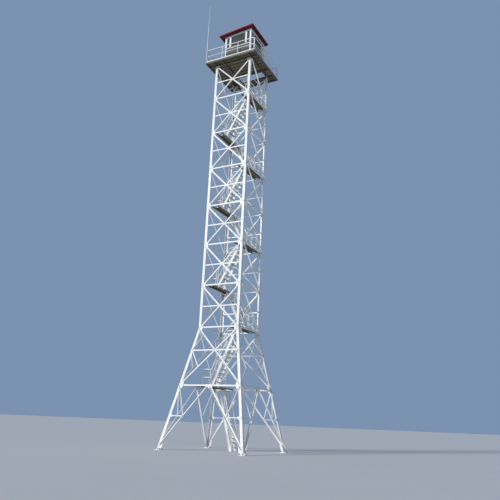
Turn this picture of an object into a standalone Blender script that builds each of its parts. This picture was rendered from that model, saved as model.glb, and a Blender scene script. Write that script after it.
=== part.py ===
"""Steel lattice lookout tower: four angle legs splayed at the base, braced faces,
a zigzag stair inside the shaft, and a railed platform with a glazed cabin on top.

Metres, +Z up.  The origin is the middle of the underside of the front left base plate.
+X runs along the front face and +Y runs from the front face to the back one.
"""

import bmesh
import bpy
from math import cos, pi, sin, tan
from mathutils import Matrix, Quaternion, Vector

# Driving sizes of the tower
SHAFT_WIDTH = 3.11            # over the heels of the legs, above the kink
BASE_WIDTH = 6.26             # over the heels of the legs, at the base plates
BASE_LOWER_HEIGHT = 4.10      # ground to the first belt
BASE_UPPER_HEIGHT = 3.89      # first belt to the kink
PANEL_HEIGHT = 3.00           # each braced panel of the shaft
PANEL_COUNT = 7
SEAT_GAP = 0.0003             # left between touching pieces
LAP = 0.002                   # how far joined bars run into each other
EDGE_CLEARANCE = 0.002        # between plates or bars that stop short of each other

# Angle steel of the legs and the faces
LEG_WIDTH = 0.18
LEG_THICKNESS = 0.018
BRACE_THICKNESS = 0.009
OUTER_BRACE_WIDTH = 0.10      # the diagonals that lie outside the flanges
INNER_BRACE_WIDTH = 0.07      # the diagonals that lie behind the flanges
BELT_WIDTH = 0.09             # the level bars
MID_BAR_WIDTH = 0.08          # the flat bars through the crossings
STUB_WIDTH = 0.060            # the short secondary bars of the base
STRUT_WIDTH = 0.12            # the long struts of the base
BELT_RISE = 0.03              # from a node up to its belt
END_DROP = 0.02               # from a node to the end of a diagonal beside a belt
FREE_END_DROP = 0.06          # the same where no belt is
GUSSET_WIDTH = 0.30
GUSSET_HEIGHT = 0.40
GUSSET_THICKNESS = 0.010
TIE_PLATE_HEIGHT = 0.16       # plate where a short bar meets a leg between the nodes
GUSSET_INSET = 0.02           # from the heel of the leg
PACKING_RADIUS = 0.075        # plate between crossing diagonals
PACKING_SIDES = 4

# Base bracing
STRUT_SPREAD = 0.10           # from the middle of the belt to the head of a strut
STRUT_FOOT_Z = 0.32
STUB_Z = 2.12                 # where the short bars meet the struts
UPPER_STUB_SHARE = 0.3        # along the diagonal, from the kink to the crossing
LOWER_STUB_SHARE = 0.5        # along the diagonal, from the belt to the crossing
PLATE_NARROW_SHARE = 0.6

# Base plates, each with two crossed ribs that stiffen the leg's foot
PLATE_WIDTH = 0.42
PLATE_THICKNESS = 0.03
RIB_HEIGHT = 0.14
RIB_THICKNESS = 0.016
RIB_MARGIN = 0.02             # from the edge of the base plate to the foot of a rib

# Stair inside the shaft
LANDING_INNER_X = 0.75        # inner edge of a landing, from the tower's middle
LANDING_SIDE_GAP = 0.175      # from the heels to the outer edge of a landing
LANDING_BACK_GAP = 0.145      # from the heels to the back edge of a landing
FIRST_LANDING_EXTRA = 0.28    # how much further out the lowest landing reaches, where the base is wide
LANDING_FRONT_MARGIN = 0.19   # from the front row of flights to the front edge
LANDING_PLATE = 0.04
LANDING_BEAM_DEPTH = 0.10
LANDING_BEAM_WIDTH = 0.05
LANDING_BEAM_INSET = 0.19     # from the outer edge, so that the beam passes under the diagonals
BEAM_END_GAP = 0.008          # from a landing's beam to the belt's upright flange
LANDING_RAIL_INSET = 0.085
FLIGHT_WIDTH = 0.76
FLIGHT_SPACING = 1.36         # between the front and the back row of flights
FIRST_RUN = 1.12              # the plan length of the flight that stands on the ground
STRINGER_WIDTH = 0.21         # measured level
STRINGER_THICKNESS = 0.03
RISER = 0.28
TREAD_DEPTH = 0.17
TREAD_INSET = 0.015           # from the upper edge of the stringers
TREAD_THICKNESS = 0.025

# Tubes of the railings
TUBE_RADIUS = 0.028
TUBE_SIDES = 4
POST_RADIUS = 0.022
BEND_RADIUS = 0.12
BEND_STEPS = 2
RAIL_HEIGHT = 1.06
MID_RAIL_HEIGHT = 0.52
HANDRAIL_REACH = 0.25         # level start of a handrail over the landing at its foot
HANDRAIL_DROP = 0.27          # from the upper landing down to the level end of a handrail
HANDRAIL_LAP = 0.05           # of the level end in the stringer
HANDRAIL_POST_SHARES = (0.03, 0.33)

# Platform
PLATFORM_OVERHANG = 0.615     # beyond the heels of the legs
PLATFORM_BEAM_DEPTH = 0.14
PLATFORM_BEAM_WIDTH = 0.08
DECK_THICKNESS = 0.04
RAILING_MARGIN = 0.022        # from the platform's edge to the outer side of its railing
DECK_RAIL_HEIGHT = 1.07
DECK_MID_RAIL_HEIGHT = 0.50
DECK_POST_SHARES = (-0.34, 0.32)
LOOP_LAP_SHARE = 0.8          # of a tube's radius, so that the loops of two sides meet
HATCH_SIDE_GAP = 0.05         # between the last flight and the front edge of its hatch
HATCH_MARGIN = 0.12           # between the cabin and the hatch

# Cabin
WALKWAY_LEFT = 1.55           # from the platform's edge to the cabin
WALKWAY_RIGHT = 0.49
WALKWAY_FRONT = 0.27
WALL_THICKNESS = 0.07
FRAME_PROUD = 0.02            # of the posts and bands before the panels between them
POST_WIDTH = 0.12
SILL_HEIGHT = 1.00
SILL_BAND = 0.10
KICK_BAND = 0.06
WINDOW_HEIGHT = 0.90          # at the cabin's left end
HEADER_HEIGHT = 0.12          # between the windows and the roof
ROOF_RISE = 0.20              # across the cabin's width
MULLION_WIDTH = 0.10
SIDE_PANE = 0.28
GLASS_THICKNESS = 0.012
GLASS_LAP = 0.015
DOOR_WIDTH = 0.80
DOOR_THICKNESS = 0.045
ROOF_THICKNESS = 0.09
ROOF_OVERHANG_LEFT = 0.38
ROOF_OVERHANG_RIGHT = 0.28
ROOF_OVERHANG_FRONT = 0.35
ROOF_OVERHANG_BACK = 0.12

# Lightning rod on the front left corner of the platform's railing
ROD_RADIUS = 0.030
ROD_TIP_RADIUS = 0.010
ROD_FOOT = 0.18               # above the deck
ROD_HEIGHT = 5.45             # above the deck
ROD_CLEARANCE = 0.01
CLAMP_SIZE = 0.08

BELT_Z = BASE_LOWER_HEIGHT
KINK_Z = BASE_LOWER_HEIGHT + BASE_UPPER_HEIGHT
SHAFT_TOP_Z = KINK_Z + PANEL_HEIGHT * PANEL_COUNT
DECK_Z = SHAFT_TOP_Z + SEAT_GAP + PLATFORM_BEAM_DEPTH + SEAT_GAP + DECK_THICKNESS
SHAFT_HALF = SHAFT_WIDTH / 2
BASE_HALF = BASE_WIDTH / 2
FOOT_HALF = BASE_HALF - LEG_WIDTH / 2
UP = Vector((0, 0, 1))
SIDES = (("front", Vector((0, -1, 0))), ("right", Vector((1, 0, 0))),
         ("back", Vector((0, 1, 0))), ("left", Vector((-1, 0, 0))))

# Layers of a face, out from the outer side of the legs' flanges
OUTER_LAYER = GUSSET_THICKNESS + SEAT_GAP
INNER_LAYER = -(LEG_THICKNESS + SEAT_GAP)
BELT_SPLIT = BELT_WIDTH / 2 + EDGE_CLEARANCE
KINK_NODE_Z = KINK_Z + BELT_SPLIT - BELT_RISE
UPPER_BASE_LOW = BELT_Z + BELT_SPLIT + FREE_END_DROP
UPPER_BASE_HIGH = KINK_Z - FREE_END_DROP
GAUGE = LEG_WIDTH / 2         # from the heel of the leg to the bolt line
BELT_INSET = LEG_THICKNESS + BELT_WIDTH + EDGE_CLEARANCE * 2   # so that belts of two faces clear

# Places of the stair, the platform and the cabin, from the tower's middle
LANDING_DEPTH = LANDING_BEAM_DEPTH + LANDING_PLATE
LANDING_OUTER_X = SHAFT_HALF - LANDING_SIDE_GAP
LANDING_BACK_Y = SHAFT_HALF - LANDING_BACK_GAP
BACK_FLIGHT_Y = LANDING_BACK_Y - FLIGHT_WIDTH / 2    # the flights that climb to the left
FRONT_FLIGHT_Y = BACK_FLIGHT_Y - FLIGHT_SPACING      # the flights that climb to the right
LANDING_FRONT_Y = FRONT_FLIGHT_Y - FLIGHT_WIDTH / 2 - LANDING_FRONT_MARGIN
PLATFORM_HALF = SHAFT_HALF + PLATFORM_OVERHANG
HATCH_LEFT = -LANDING_INNER_X
HATCH_RIGHT = SHAFT_HALF - PLATFORM_BEAM_WIDTH
HATCH_BACK = SHAFT_HALF - PLATFORM_BEAM_WIDTH
HATCH_FRONT = BACK_FLIGHT_Y - FLIGHT_WIDTH / 2 - HATCH_SIDE_GAP
CABIN_LEFT = WALKWAY_LEFT - PLATFORM_HALF
CABIN_RIGHT = PLATFORM_HALF - WALKWAY_RIGHT
CABIN_FRONT = WALKWAY_FRONT - PLATFORM_HALF
CABIN_BACK = HATCH_FRONT - HATCH_MARGIN
CABIN_FLOOR_Z = DECK_Z + SEAT_GAP
SILL_Z = DECK_Z + SILL_HEIGHT
DOOR_HEAD_Z = SILL_Z + WINDOW_HEIGHT
EAVE_Z = DOOR_HEAD_Z + HEADER_HEIGHT                 # the roof's underside at the cabin's left wall
DECK_RAIL_EDGE = PLATFORM_HALF - RAILING_MARGIN - TUBE_RADIUS
DECK_RAIL_REACH = DECK_RAIL_EDGE - TUBE_RADIUS * LOOP_LAP_SHARE


def clear_scene():
    """Remove what the scene holds."""
    for item in list(bpy.data.objects):
        bpy.data.objects.remove(item, do_unlink=True)


def make_material(name, colour, roughness, metallic):
    """A Principled material with one colour, given as linear red, green and blue."""
    material = bpy.data.materials.new(name)
    material.use_nodes = True
    shader = material.node_tree.nodes["Principled BSDF"]
    shader.inputs["Base Color"].default_value = (*colour, 1)
    shader.inputs["Roughness"].default_value = roughness
    shader.inputs["Metallic"].default_value = metallic
    return material


def add_object(name, shape, material, parent):
    """Turn the bmesh into a named object, with every face pointing out."""
    bmesh.ops.recalc_face_normals(shape, faces=shape.faces)
    mesh = bpy.data.meshes.new(name)
    shape.to_mesh(mesh)
    shape.free()
    if material is not None:
        mesh.materials.append(material)
    item = bpy.data.objects.new(name, mesh)
    item.parent = parent
    bpy.context.scene.collection.objects.link(item)
    return item


def add_helper(name, shape, parent):
    """A shape that only a Boolean reads."""
    item = add_object(name, shape, None, parent)
    item.hide_render = True
    item.display_type = "WIRE"
    return item


def add_boolean(item, operand, operation):
    """An exact Boolean, which also joins the parts of the item that cross."""
    step = item.modifiers.new(operation.lower(), "BOOLEAN")
    step.operation = operation
    step.object = operand
    step.solver = "EXACT"
    step.use_self = True


def extrude_outline(shape, points, step):
    """Fill the outline and extrude it along the step."""
    face = shape.faces.new([shape.verts.new(point) for point in points])
    grown = bmesh.ops.extrude_face_region(shape, geom=[face], use_keep_orig=True)
    moved = [part for part in grown["geom"] if isinstance(part, bmesh.types.BMVert)]
    bmesh.ops.translate(shape, verts=moved, vec=step)


def add_box(shape, low, high):
    """A box between two corners."""
    low, high = Vector(low), Vector(high)
    place = Matrix.Translation((low + high) / 2) @ Matrix.Diagonal((*(high - low), 1))
    bmesh.ops.create_cube(shape, size=1, matrix=place)


def add_loft(shape, rings, closed=False):
    """A skin through rings of points that match one to one, capped unless it closes on itself."""
    rings = [[shape.verts.new(point) for point in ring] for ring in rings]
    count = len(rings[0])
    for ring, following in zip(rings, rings[1:] + rings[:1] if closed else rings[1:]):
        for step in range(count):
            after = (step + 1) % count
            shape.faces.new((ring[step], ring[after], following[after], following[step]))
    if not closed:
        shape.faces.new(rings[0])
        shape.faces.new(rings[-1])


def rounded_path(points, closed=False):
    """The path through the points, with an arc in place of each corner."""
    points = [Vector(point) for point in points]
    corners = range(len(points)) if closed else range(1, len(points) - 1)
    path = [] if closed else points[:1]
    for index in corners:
        corner, after = points[index], points[(index + 1) % len(points)]
        toward, away = (corner - points[index - 1]).normalized(), (after - corner).normalized()
        turn = toward.angle(away)
        start = corner - toward * (BEND_RADIUS * tan(turn / 2))
        centre = corner + (away - toward).normalized() * (BEND_RADIUS / cos(turn / 2))
        for step in range(BEND_STEPS + 1):
            swing = Quaternion(toward.cross(away), turn * step / BEND_STEPS)
            path.append(centre + swing @ (start - centre))
    return path if closed else path + points[-1:]


def add_tube(shape, path, radius, closed=False):
    """A bar of few sides along a path, mitred where the path bends."""
    path = [Vector(point) for point in path]
    steps = [(after - point).normalized() for point, after in zip(path, path[1:] + path[:1])]
    if not closed:
        steps[-1] = steps[-2]
    before = steps[-1] if closed else steps[0]
    across = steps[0].cross(UP) if abs(steps[0].z) < cos(pi / 4) else steps[0].cross(Vector((1, 0, 0)))
    across.normalize()
    rings = []
    for point, along in zip(path, steps):
        if rings:
            across = before.rotation_difference(along) @ across
        normal = across.cross(along)
        mitre = (along + before).normalized()
        ring = []
        for step in range(TUBE_SIDES):
            angle = 2 * pi * step / TUBE_SIDES
            offset = radius * (cos(angle) * across + sin(angle) * normal)
            ring.append(point + offset - along * (offset.dot(mitre) / mitre.dot(along)))
        rings.append(ring)
        before = along
    add_loft(shape, rings, closed)


class Face:
    """One side of the tower, upright above the kink or leaning below it."""

    def __init__(self, name, outward, leaning):
        self.name = name
        self.outward = outward
        self.across = UP.cross(outward)
        slope = outward * (SHAFT_HALF - BASE_HALF) + UP * KINK_Z if leaning else UP
        self.normal = self.across.cross(slope.normalized())

    def point(self, across, height, layer):
        """Across from the middle of the face, at a height, out from the flange's outer side."""
        at = self.outward * half_width(height) + self.across * across + UP * height
        return at + self.normal * layer


def half_width(height):
    """From the tower's middle to the heels of the legs."""
    share = min(height / KINK_Z, 1)
    return BASE_HALF + (SHAFT_HALF - BASE_HALF) * share


def node_height(index):
    """Where the bracing of the shaft meets the legs, counted from the kink."""
    return KINK_Z + PANEL_HEIGHT * index if index > 0 else KINK_NODE_Z


def add_angle(shape, face, start, end, layer, out, width):
    """An angle bar in a face, its flat flange at the layer, its other flange at the lower edge."""
    low, high = face.point(*start, layer), face.point(*end, layer)
    rise = face.normal.cross(high - low).normalized()
    if rise.z < 0:
        rise = -rise
    edge, inner = width / 2, BRACE_THICKNESS - width / 2
    profile = [(-edge, 0), (edge, 0), (edge, BRACE_THICKNESS), (inner, BRACE_THICKNESS),
               (inner, width), (-edge, width)]
    outline = [low + rise * up + face.normal * (out * deep) for up, deep in profile]
    extrude_outline(shape, outline, high - low)


def add_flat(shape, face, start, end, layer, out):
    """A flat bar in a face, from the layer outward or inward."""
    low, high = face.point(*start, layer), face.point(*end, layer)
    rise = face.normal.cross(high - low).normalized() * (MID_BAR_WIDTH / 2)
    deep = face.normal * (out * BRACE_THICKNESS)
    extrude_outline(shape, [low - rise, low + rise, low + rise + deep, low - rise + deep], high - low)


def add_gusset(shape, face, side, low, high):
    """A plate on the outer side of a leg's flange, -1 for the left leg of the face."""
    outline = []
    for height, reach in ((low, 0), (low, GUSSET_WIDTH), (high, GUSSET_WIDTH), (high, 0)):
        across = side * (half_width(height) - GUSSET_INSET - reach)
        outline.append(face.point(across, height, -LAP))
    extrude_outline(shape, outline, face.normal * (LAP + GUSSET_THICKNESS))


def add_packing(shape, face, across, height):
    """The plate that fills the space between two crossing diagonals."""
    inner = INNER_LAYER - LAP
    outer = OUTER_LAYER + LAP
    centre = face.point(across, height, (inner + outer) / 2)
    turn = face.normal.to_track_quat("Z", "Y").to_matrix().to_4x4()
    bmesh.ops.create_cone(shape, cap_ends=True, segments=PACKING_SIDES, radius1=PACKING_RADIUS,
                          radius2=PACKING_RADIUS, depth=outer - inner,
                          matrix=Matrix.Translation(centre) @ turn)


def crossing_height(low, high):
    """Where two diagonals between these heights cross."""
    top, foot = half_width(high) - GAUGE, half_width(low) - GAUGE
    return high - (high - low) * top / (top + foot)


def add_cross(bars, plates, face, low, high):
    """Two crossing diagonals and the bar through their crossing."""
    top, foot = half_width(high) - GAUGE, half_width(low) - GAUGE
    add_angle(bars, face, (-top, high), (foot, low), OUTER_LAYER, 1, OUTER_BRACE_WIDTH)
    add_angle(bars, face, (top, high), (-foot, low), INNER_LAYER, -1, INNER_BRACE_WIDTH)
    middle = crossing_height(low, high)
    add_packing(plates, face, 0, middle)
    reach = half_width(middle) - BELT_INSET
    add_flat(bars, face, (-reach, middle), (reach, middle), INNER_LAYER - LAP / 2, -1)


def add_belt(bars, face, height):
    """A level bar from leg to leg, behind their flanges."""
    reach = half_width(height) - BELT_INSET
    add_angle(bars, face, (-reach, height), (reach, height), INNER_LAYER - LAP / 2, -1, BELT_WIDTH)


def add_stub(bars, face, side, height, end, outer):
    """A short bar from a leg to a diagonal, on the outer or the inner side of the flange."""
    start = (side * (half_width(height) - GAUGE), height)
    layer, out = (OUTER_LAYER + LAP / 2, 1) if outer else (INNER_LAYER - LAP / 2, -1)
    add_angle(bars, face, start, end, layer, out, STUB_WIDTH)


def finish_bracing(name, bars, plates, material, parent):
    """Join the bars of a face, where they cross and where plates carry them."""
    item = add_object(name, bars, material, parent)
    add_boolean(item, add_helper(name + "_plates", plates, parent), "UNION")


def build_shaft_bracing(face, material, parent):
    """The seven braced panels of one side of the shaft."""
    bars, plates = bmesh.new(), bmesh.new()
    for index in range(PANEL_COUNT):
        low = node_height(index)
        last = index == PANEL_COUNT - 1
        high = SHAFT_TOP_Z - FREE_END_DROP if last else node_height(index + 1) - END_DROP
        add_belt(bars, face, low + BELT_RISE)
        add_cross(bars, plates, face, low + END_DROP, high)
    finish_bracing("shaft_bracing_" + face.name, bars, plates, material, parent)


def build_upper_base_bracing(face, material, parent):
    """The crossed panel between the first belt and the kink, with its short secondary bars."""
    bars, plates = bmesh.new(), bmesh.new()
    low, high = UPPER_BASE_LOW, UPPER_BASE_HIGH
    add_cross(bars, plates, face, low, high)
    middle = crossing_height(low, high)
    top, foot = half_width(high) - GAUGE, half_width(low) - GAUGE
    for side in (-1, 1):
        for share, far, height in ((UPPER_STUB_SHARE, top, high), (LOWER_STUB_SHARE, foot, low)):
            end = (side * far * (1 - share), height + (middle - height) * share)
            outer = (side < 0) == (height == high)
            add_stub(bars, face, side, middle, end, outer)
    finish_bracing("upper_base_bracing_" + face.name, bars, plates, material, parent)


def build_lower_base_bracing(face, material, parent):
    """The first belt and the two struts from its middle to the feet."""
    bars, plates = bmesh.new(), bmesh.new()
    add_belt(bars, face, BELT_Z)
    peak = (STRUT_SPREAD, BELT_Z - FREE_END_DROP)
    foot = (half_width(STRUT_FOOT_Z) - GAUGE, STRUT_FOOT_Z)
    share = (peak[1] - STUB_Z) / (peak[1] - foot[1])
    for side in (-1, 1):
        add_angle(bars, face, (side * peak[0], peak[1]), (side * foot[0], foot[1]),
                  OUTER_LAYER, 1, STRUT_WIDTH)
        on_strut = (side * (peak[0] + (foot[0] - peak[0]) * share), STUB_Z)
        for height in (STUB_Z, BELT_Z - FREE_END_DROP):
            add_stub(bars, face, side, height, on_strut, True)
    narrow = GUSSET_WIDTH * PLATE_NARROW_SHARE
    middle_plate = [(-narrow, BELT_Z - GUSSET_HEIGHT / 2), (narrow, BELT_Z - GUSSET_HEIGHT / 2),
                    (GUSSET_WIDTH, BELT_Z), (GUSSET_WIDTH, BELT_Z + BELT_SPLIT),
                    (-GUSSET_WIDTH, BELT_Z + BELT_SPLIT), (-GUSSET_WIDTH, BELT_Z)]
    outline = [face.point(*place, SEAT_GAP) for place in middle_plate]
    extrude_outline(plates, outline, face.normal * (GUSSET_THICKNESS + LAP))
    add_packing(bars, face, 0, BELT_Z)
    finish_bracing("lower_base_bracing_" + face.name, bars, plates, material, parent)


def add_leg_gussets(plates, name, side_x, side_y):
    """The plates on both flanges of a leg, one at each node."""
    half_plate, half_tie = GUSSET_HEIGHT / 2, TIE_PLATE_HEIGHT / 2
    heel = Vector((side_x, side_y, 0))
    for outward in (Vector((0, side_y, 0)), Vector((side_x, 0, 0))):
        upright, leaning = Face(name, outward, False), Face(name, outward, True)
        side = 1 if heel.dot(upright.across) > 0 else -1
        for node in (STRUT_FOOT_Z, BELT_Z):
            add_gusset(plates, leaning, side, node - half_plate, node + half_plate)
        for node in (STUB_Z, crossing_height(UPPER_BASE_LOW, UPPER_BASE_HIGH)):
            add_gusset(plates, leaning, side, node - half_tie, node + half_tie)
        add_gusset(plates, leaning, side, KINK_Z - half_plate, KINK_Z)
        add_gusset(plates, upright, side, KINK_Z + EDGE_CLEARANCE, KINK_Z + half_plate)
        for index in range(1, PANEL_COUNT):
            node = node_height(index)
            add_gusset(plates, upright, side, node - half_plate, node + half_plate)
        add_gusset(plates, upright, side, SHAFT_TOP_Z - half_plate, SHAFT_TOP_Z - EDGE_CLEARANCE)


def add_shoe(plates, centre):
    """The base plate of a leg and the two crossed ribs on it."""
    reach = Vector((PLATE_WIDTH / 2, PLATE_WIDTH / 2, 0))
    add_box(plates, centre - reach, centre + reach + UP * PLATE_THICKNESS)
    foot_reach = PLATE_WIDTH / 2 - RIB_MARGIN
    low, high = PLATE_THICKNESS - LAP, PLATE_THICKNESS + RIB_HEIGHT
    for along in (Vector((1, 0, 0)), Vector((0, 1, 0))):
        half_rib = UP.cross(along) * (RIB_THICKNESS / 2)
        outline = []
        for far, height in ((-foot_reach, low), (foot_reach, low), (LEG_WIDTH / 2, high), (-LEG_WIDTH / 2, high)):
            outline.append(centre + along * far + UP * height - half_rib)
        extrude_outline(plates, outline, half_rib * 2)


def build_leg(name, side_x, side_y, material, parent):
    """A leg of angle steel, bent at the kink, on its base plate."""
    plan = [(0, 0), (LEG_WIDTH, 0), (LEG_WIDTH, LEG_THICKNESS), (LEG_THICKNESS, LEG_THICKNESS),
            (LEG_THICKNESS, LEG_WIDTH), (0, LEG_WIDTH)]
    rings = []
    for height in (PLATE_THICKNESS / 2, KINK_Z, SHAFT_TOP_Z):
        heel = half_width(height)
        rings.append([(side_x * (heel - x), side_y * (heel - y), height) for x, y in plan])
    leg, plates = bmesh.new(), bmesh.new()
    add_loft(leg, rings)
    add_leg_gussets(plates, name, side_x, side_y)
    add_shoe(plates, Vector((side_x * FOOT_HALF, side_y * FOOT_HALF, 0)))
    item = add_object("leg_" + name, leg, material, parent)
    add_boolean(item, add_helper("leg_plates_" + name, plates, parent), "UNION")


def build_landing(number, side, level, material, parent):
    """A plate on two long beams that rest on the belts of the front and back faces."""
    base = level - BELT_WIDTH / 2 + BRACE_THICKNESS + SEAT_GAP
    top = base + LANDING_DEPTH
    outer = LANDING_OUTER_X + FIRST_LANDING_EXTRA if number == 1 else LANDING_OUTER_X
    reach_gap = LEG_THICKNESS + BRACE_THICKNESS + BEAM_END_GAP
    reach = half_width(base + LANDING_BEAM_DEPTH) - reach_gap
    plate, frame = bmesh.new(), bmesh.new()
    add_box(plate, (side * LANDING_INNER_X, LANDING_FRONT_Y, top - LANDING_PLATE),
            (side * outer, LANDING_BACK_Y, top))
    beam_top = top - LANDING_PLATE + LAP
    for near in (LANDING_INNER_X, outer - LANDING_BEAM_INSET):
        add_box(frame, (side * near, -reach, base),
                (side * (near + LANDING_BEAM_WIDTH), reach, beam_top))
    gap_x, rail_x = side * (LANDING_INNER_X + LANDING_RAIL_INSET), side * (outer - LANDING_RAIL_INSET)
    front, back = LANDING_FRONT_Y + LANDING_RAIL_INSET, LANDING_BACK_Y - LANDING_RAIL_INSET
    route = [(gap_x, front), (rail_x, front), (rail_x, back), (gap_x, back)]
    for height in (MID_RAIL_HEIGHT, RAIL_HEIGHT):
        add_tube(plate, rounded_path([(x, y, top + height) for x, y in route]), TUBE_RADIUS)
    bend = BEND_RADIUS * side
    for x, y in ((gap_x, front), (rail_x - bend, front), (rail_x - bend, back), (gap_x, back)):
        add_tube(frame, [(x, y, top - LAP), (x, y, top + RAIL_HEIGHT)], POST_RADIUS)
    item = add_object(f"landing_{number}", plate, material, parent)
    add_boolean(item, add_helper(f"landing_{number}_frame", frame, parent), "UNION")
    return top


def add_handrail(rails, posts, foot, pitch, side):
    """A tube over a stringer: level at the foot, along the pitch, and level again to the stringer."""
    lift = UP * RAIL_HEIGHT
    level = Vector((side, 0, 0))
    start = foot + lift
    turn = start + pitch * (1 - (HANDRAIL_DROP + RAIL_HEIGHT) / pitch.z)
    end = foot + pitch * (1 - HANDRAIL_DROP / pitch.z)
    route = [start - level * HANDRAIL_REACH, start, turn, end + level * HANDRAIL_LAP]
    add_tube(rails, rounded_path(route), TUBE_RADIUS)
    for share in HANDRAIL_POST_SHARES:
        base = foot + pitch * share
        add_tube(posts, [base - UP * STRINGER_THICKNESS, base + lift], POST_RADIUS)


def build_flight(number, side, low, high, material, parent):
    """A steep flight that climbs toward the side, cut off at the landings' inner edges."""
    middle_y = FRONT_FLIGHT_Y if side > 0 else BACK_FLIGHT_Y
    top_x = side * (LANDING_INNER_X - SEAT_GAP)
    foot_x, foot_z = (top_x - side * FIRST_RUN, low) if number == 1 else (-top_x, low - LANDING_DEPTH)
    pitch = Vector((top_x - foot_x, 0, high - low))
    slope = pitch.z / abs(pitch.x)
    under_x = foot_x + side * (STRINGER_WIDTH - (low - foot_z) / slope)
    outline = [(foot_x, low), (top_x, high), (top_x, high - slope * STRINGER_WIDTH), (under_x, foot_z)]
    if foot_z < low:
        outline.append((foot_x, foot_z))
    bars, treads = bmesh.new(), bmesh.new()
    for edge in (-1, 1):
        y = middle_y + edge * FLIGHT_WIDTH / 2
        near_y = y - STRINGER_THICKNESS / 2
        extrude_outline(bars, [(x, near_y, z) for x, z in outline], Vector((0, STRINGER_THICKNESS, 0)))
        add_handrail(bars, treads, Vector((foot_x, y, low)), pitch, side)
    count = round((high - low) / RISER)
    half = FLIGHT_WIDTH / 2 - STRINGER_THICKNESS / 2 + LAP
    for index in range(1, count):
        nose_x = foot_x + pitch.x * index / count + side * TREAD_INSET
        z = low + pitch.z * index / count
        add_box(treads, (nose_x, middle_y - half, z - TREAD_THICKNESS),
                (nose_x + side * TREAD_DEPTH, middle_y + half, z))
    item = add_object(f"stair_flight_{number}", bars, material, parent)
    add_boolean(item, add_helper(f"stair_flight_{number}_treads", treads, parent), "UNION")


def build_stair(material, parent):
    """Landings on alternate sides and the flights between them."""
    levels = [BELT_Z] + [node_height(index) + BELT_RISE for index in range(PANEL_COUNT)]
    low = 0
    side = -1
    for number, level in enumerate(levels, start=1):
        top = build_landing(number, side, level, material, parent)
        build_flight(number, side, low, top, material, parent)
        low = top
        side = -side
    build_flight(len(levels) + 1, side, low, DECK_Z, material, parent)


def build_platform(steel, dark, parent):
    """The beams and the deck with its stair hatch."""
    base = SHAFT_TOP_Z + SEAT_GAP
    beam_top = base + PLATFORM_BEAM_DEPTH
    rim, beams = bmesh.new(), bmesh.new()
    half, width = PLATFORM_HALF, PLATFORM_BEAM_WIDTH
    over_legs = SHAFT_HALF - width / 2
    inside = half - width + LAP
    for middle in (-over_legs, HATCH_LEFT - width / 2, over_legs):
        add_box(beams, (middle - width / 2, -inside, base), (middle + width / 2, inside, beam_top - LAP))
    for middle in (-over_legs, HATCH_FRONT - width / 2, over_legs):
        add_box(beams, (-inside, middle - width / 2, base + LAP), (inside, middle + width / 2, beam_top - LAP * 2))
    for low in (-half, half - width):
        add_box(rim, (-half, low, base), (half, low + width, beam_top))
        add_box(rim, (low, -inside, base + LAP), (low + width, inside, beam_top - LAP))
    frame = add_object("platform_beams", rim, steel, parent)
    add_boolean(frame, add_helper("platform_cross_beams", beams, parent), "UNION")

    deck, hatch = bmesh.new(), bmesh.new()
    add_box(deck, (-half, -half, DECK_Z - DECK_THICKNESS), (half, half, DECK_Z))
    add_box(hatch, (HATCH_LEFT, HATCH_FRONT, DECK_Z - DECK_THICKNESS * 2),
            (HATCH_RIGHT, HATCH_BACK, DECK_Z + DECK_THICKNESS))
    floor = add_object("platform_deck", deck, dark, parent)
    add_boolean(floor, add_helper("hatch_cutter", hatch, parent), "DIFFERENCE")


def build_deck_railing(material, parent):
    """On each side of the platform a loop of bent tube, with a middle rail and two thin posts."""
    rails, posts = bmesh.new(), bmesh.new()
    floor = DECK_Z + SEAT_GAP
    for _, outward in SIDES:
        across = UP.cross(outward)
        middle = outward * DECK_RAIL_EDGE + UP * floor
        ends = (middle - across * DECK_RAIL_REACH, middle + across * DECK_RAIL_REACH)
        foot, top = UP * TUBE_RADIUS, UP * DECK_RAIL_HEIGHT
        loop = [ends[0] + foot, ends[1] + foot, ends[1] + top, ends[0] + top]
        add_tube(rails, rounded_path(loop, True), TUBE_RADIUS, True)
        add_tube(posts, [end + UP * DECK_MID_RAIL_HEIGHT for end in ends], POST_RADIUS)
        for share in DECK_POST_SHARES:
            place = middle + across * (DECK_RAIL_REACH * share)
            add_tube(posts, [place + foot, place + top], POST_RADIUS)
    item = add_object("platform_railing", rails, material, parent)
    add_boolean(item, add_helper("platform_railing_posts", posts, parent), "UNION")


def roof_underside(x):
    """Height of the roof's underside above the tower's foot."""
    return EAVE_Z + ROOF_RISE * (x - CABIN_LEFT) / (CABIN_RIGHT - CABIN_LEFT)


def level(height):
    """A level edge, for add_block."""
    return lambda x: height


def below_roof(drop):
    """An edge that runs below the sloping roof, for add_block."""
    return lambda x: roof_underside(x) - drop


class Wall:
    """One side of the cabin: places along it, and depths in from its outer side."""

    def __init__(self, name, ends, outer, inward, follows_x):
        self.name = name
        self.ends = ends
        self.outer = outer
        self.inward = inward
        self.follows_x = follows_x

    def plan(self, along, depth):
        across = self.outer + self.inward * depth
        return (along, across) if self.follows_x else (across, along)


def add_block(shape, wall, ends, depths, foot, top):
    """A block in a wall, whose foot and top may slope with the roof."""
    plan = [wall.plan(ends[0], depths[0]), wall.plan(ends[1], depths[0]),
            wall.plan(ends[1], depths[1]), wall.plan(ends[0], depths[1])]
    add_loft(shape, [[(x, y, edge(x)) for x, y in plan] for edge in (foot, top)])


def finish_wall(wall, cutter, steel, parent):
    """The wall as a block from the deck to the roof, with the cutter's shapes taken away."""
    block = bmesh.new()
    add_block(block, wall, wall.ends, (0, WALL_THICKNESS), level(CABIN_FLOOR_Z), below_roof(SEAT_GAP))
    item = add_object("cabin_wall_" + wall.name, block, steel, parent)
    add_boolean(item, add_helper("cabin_cutter_" + wall.name, cutter, parent), "DIFFERENCE")


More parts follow.
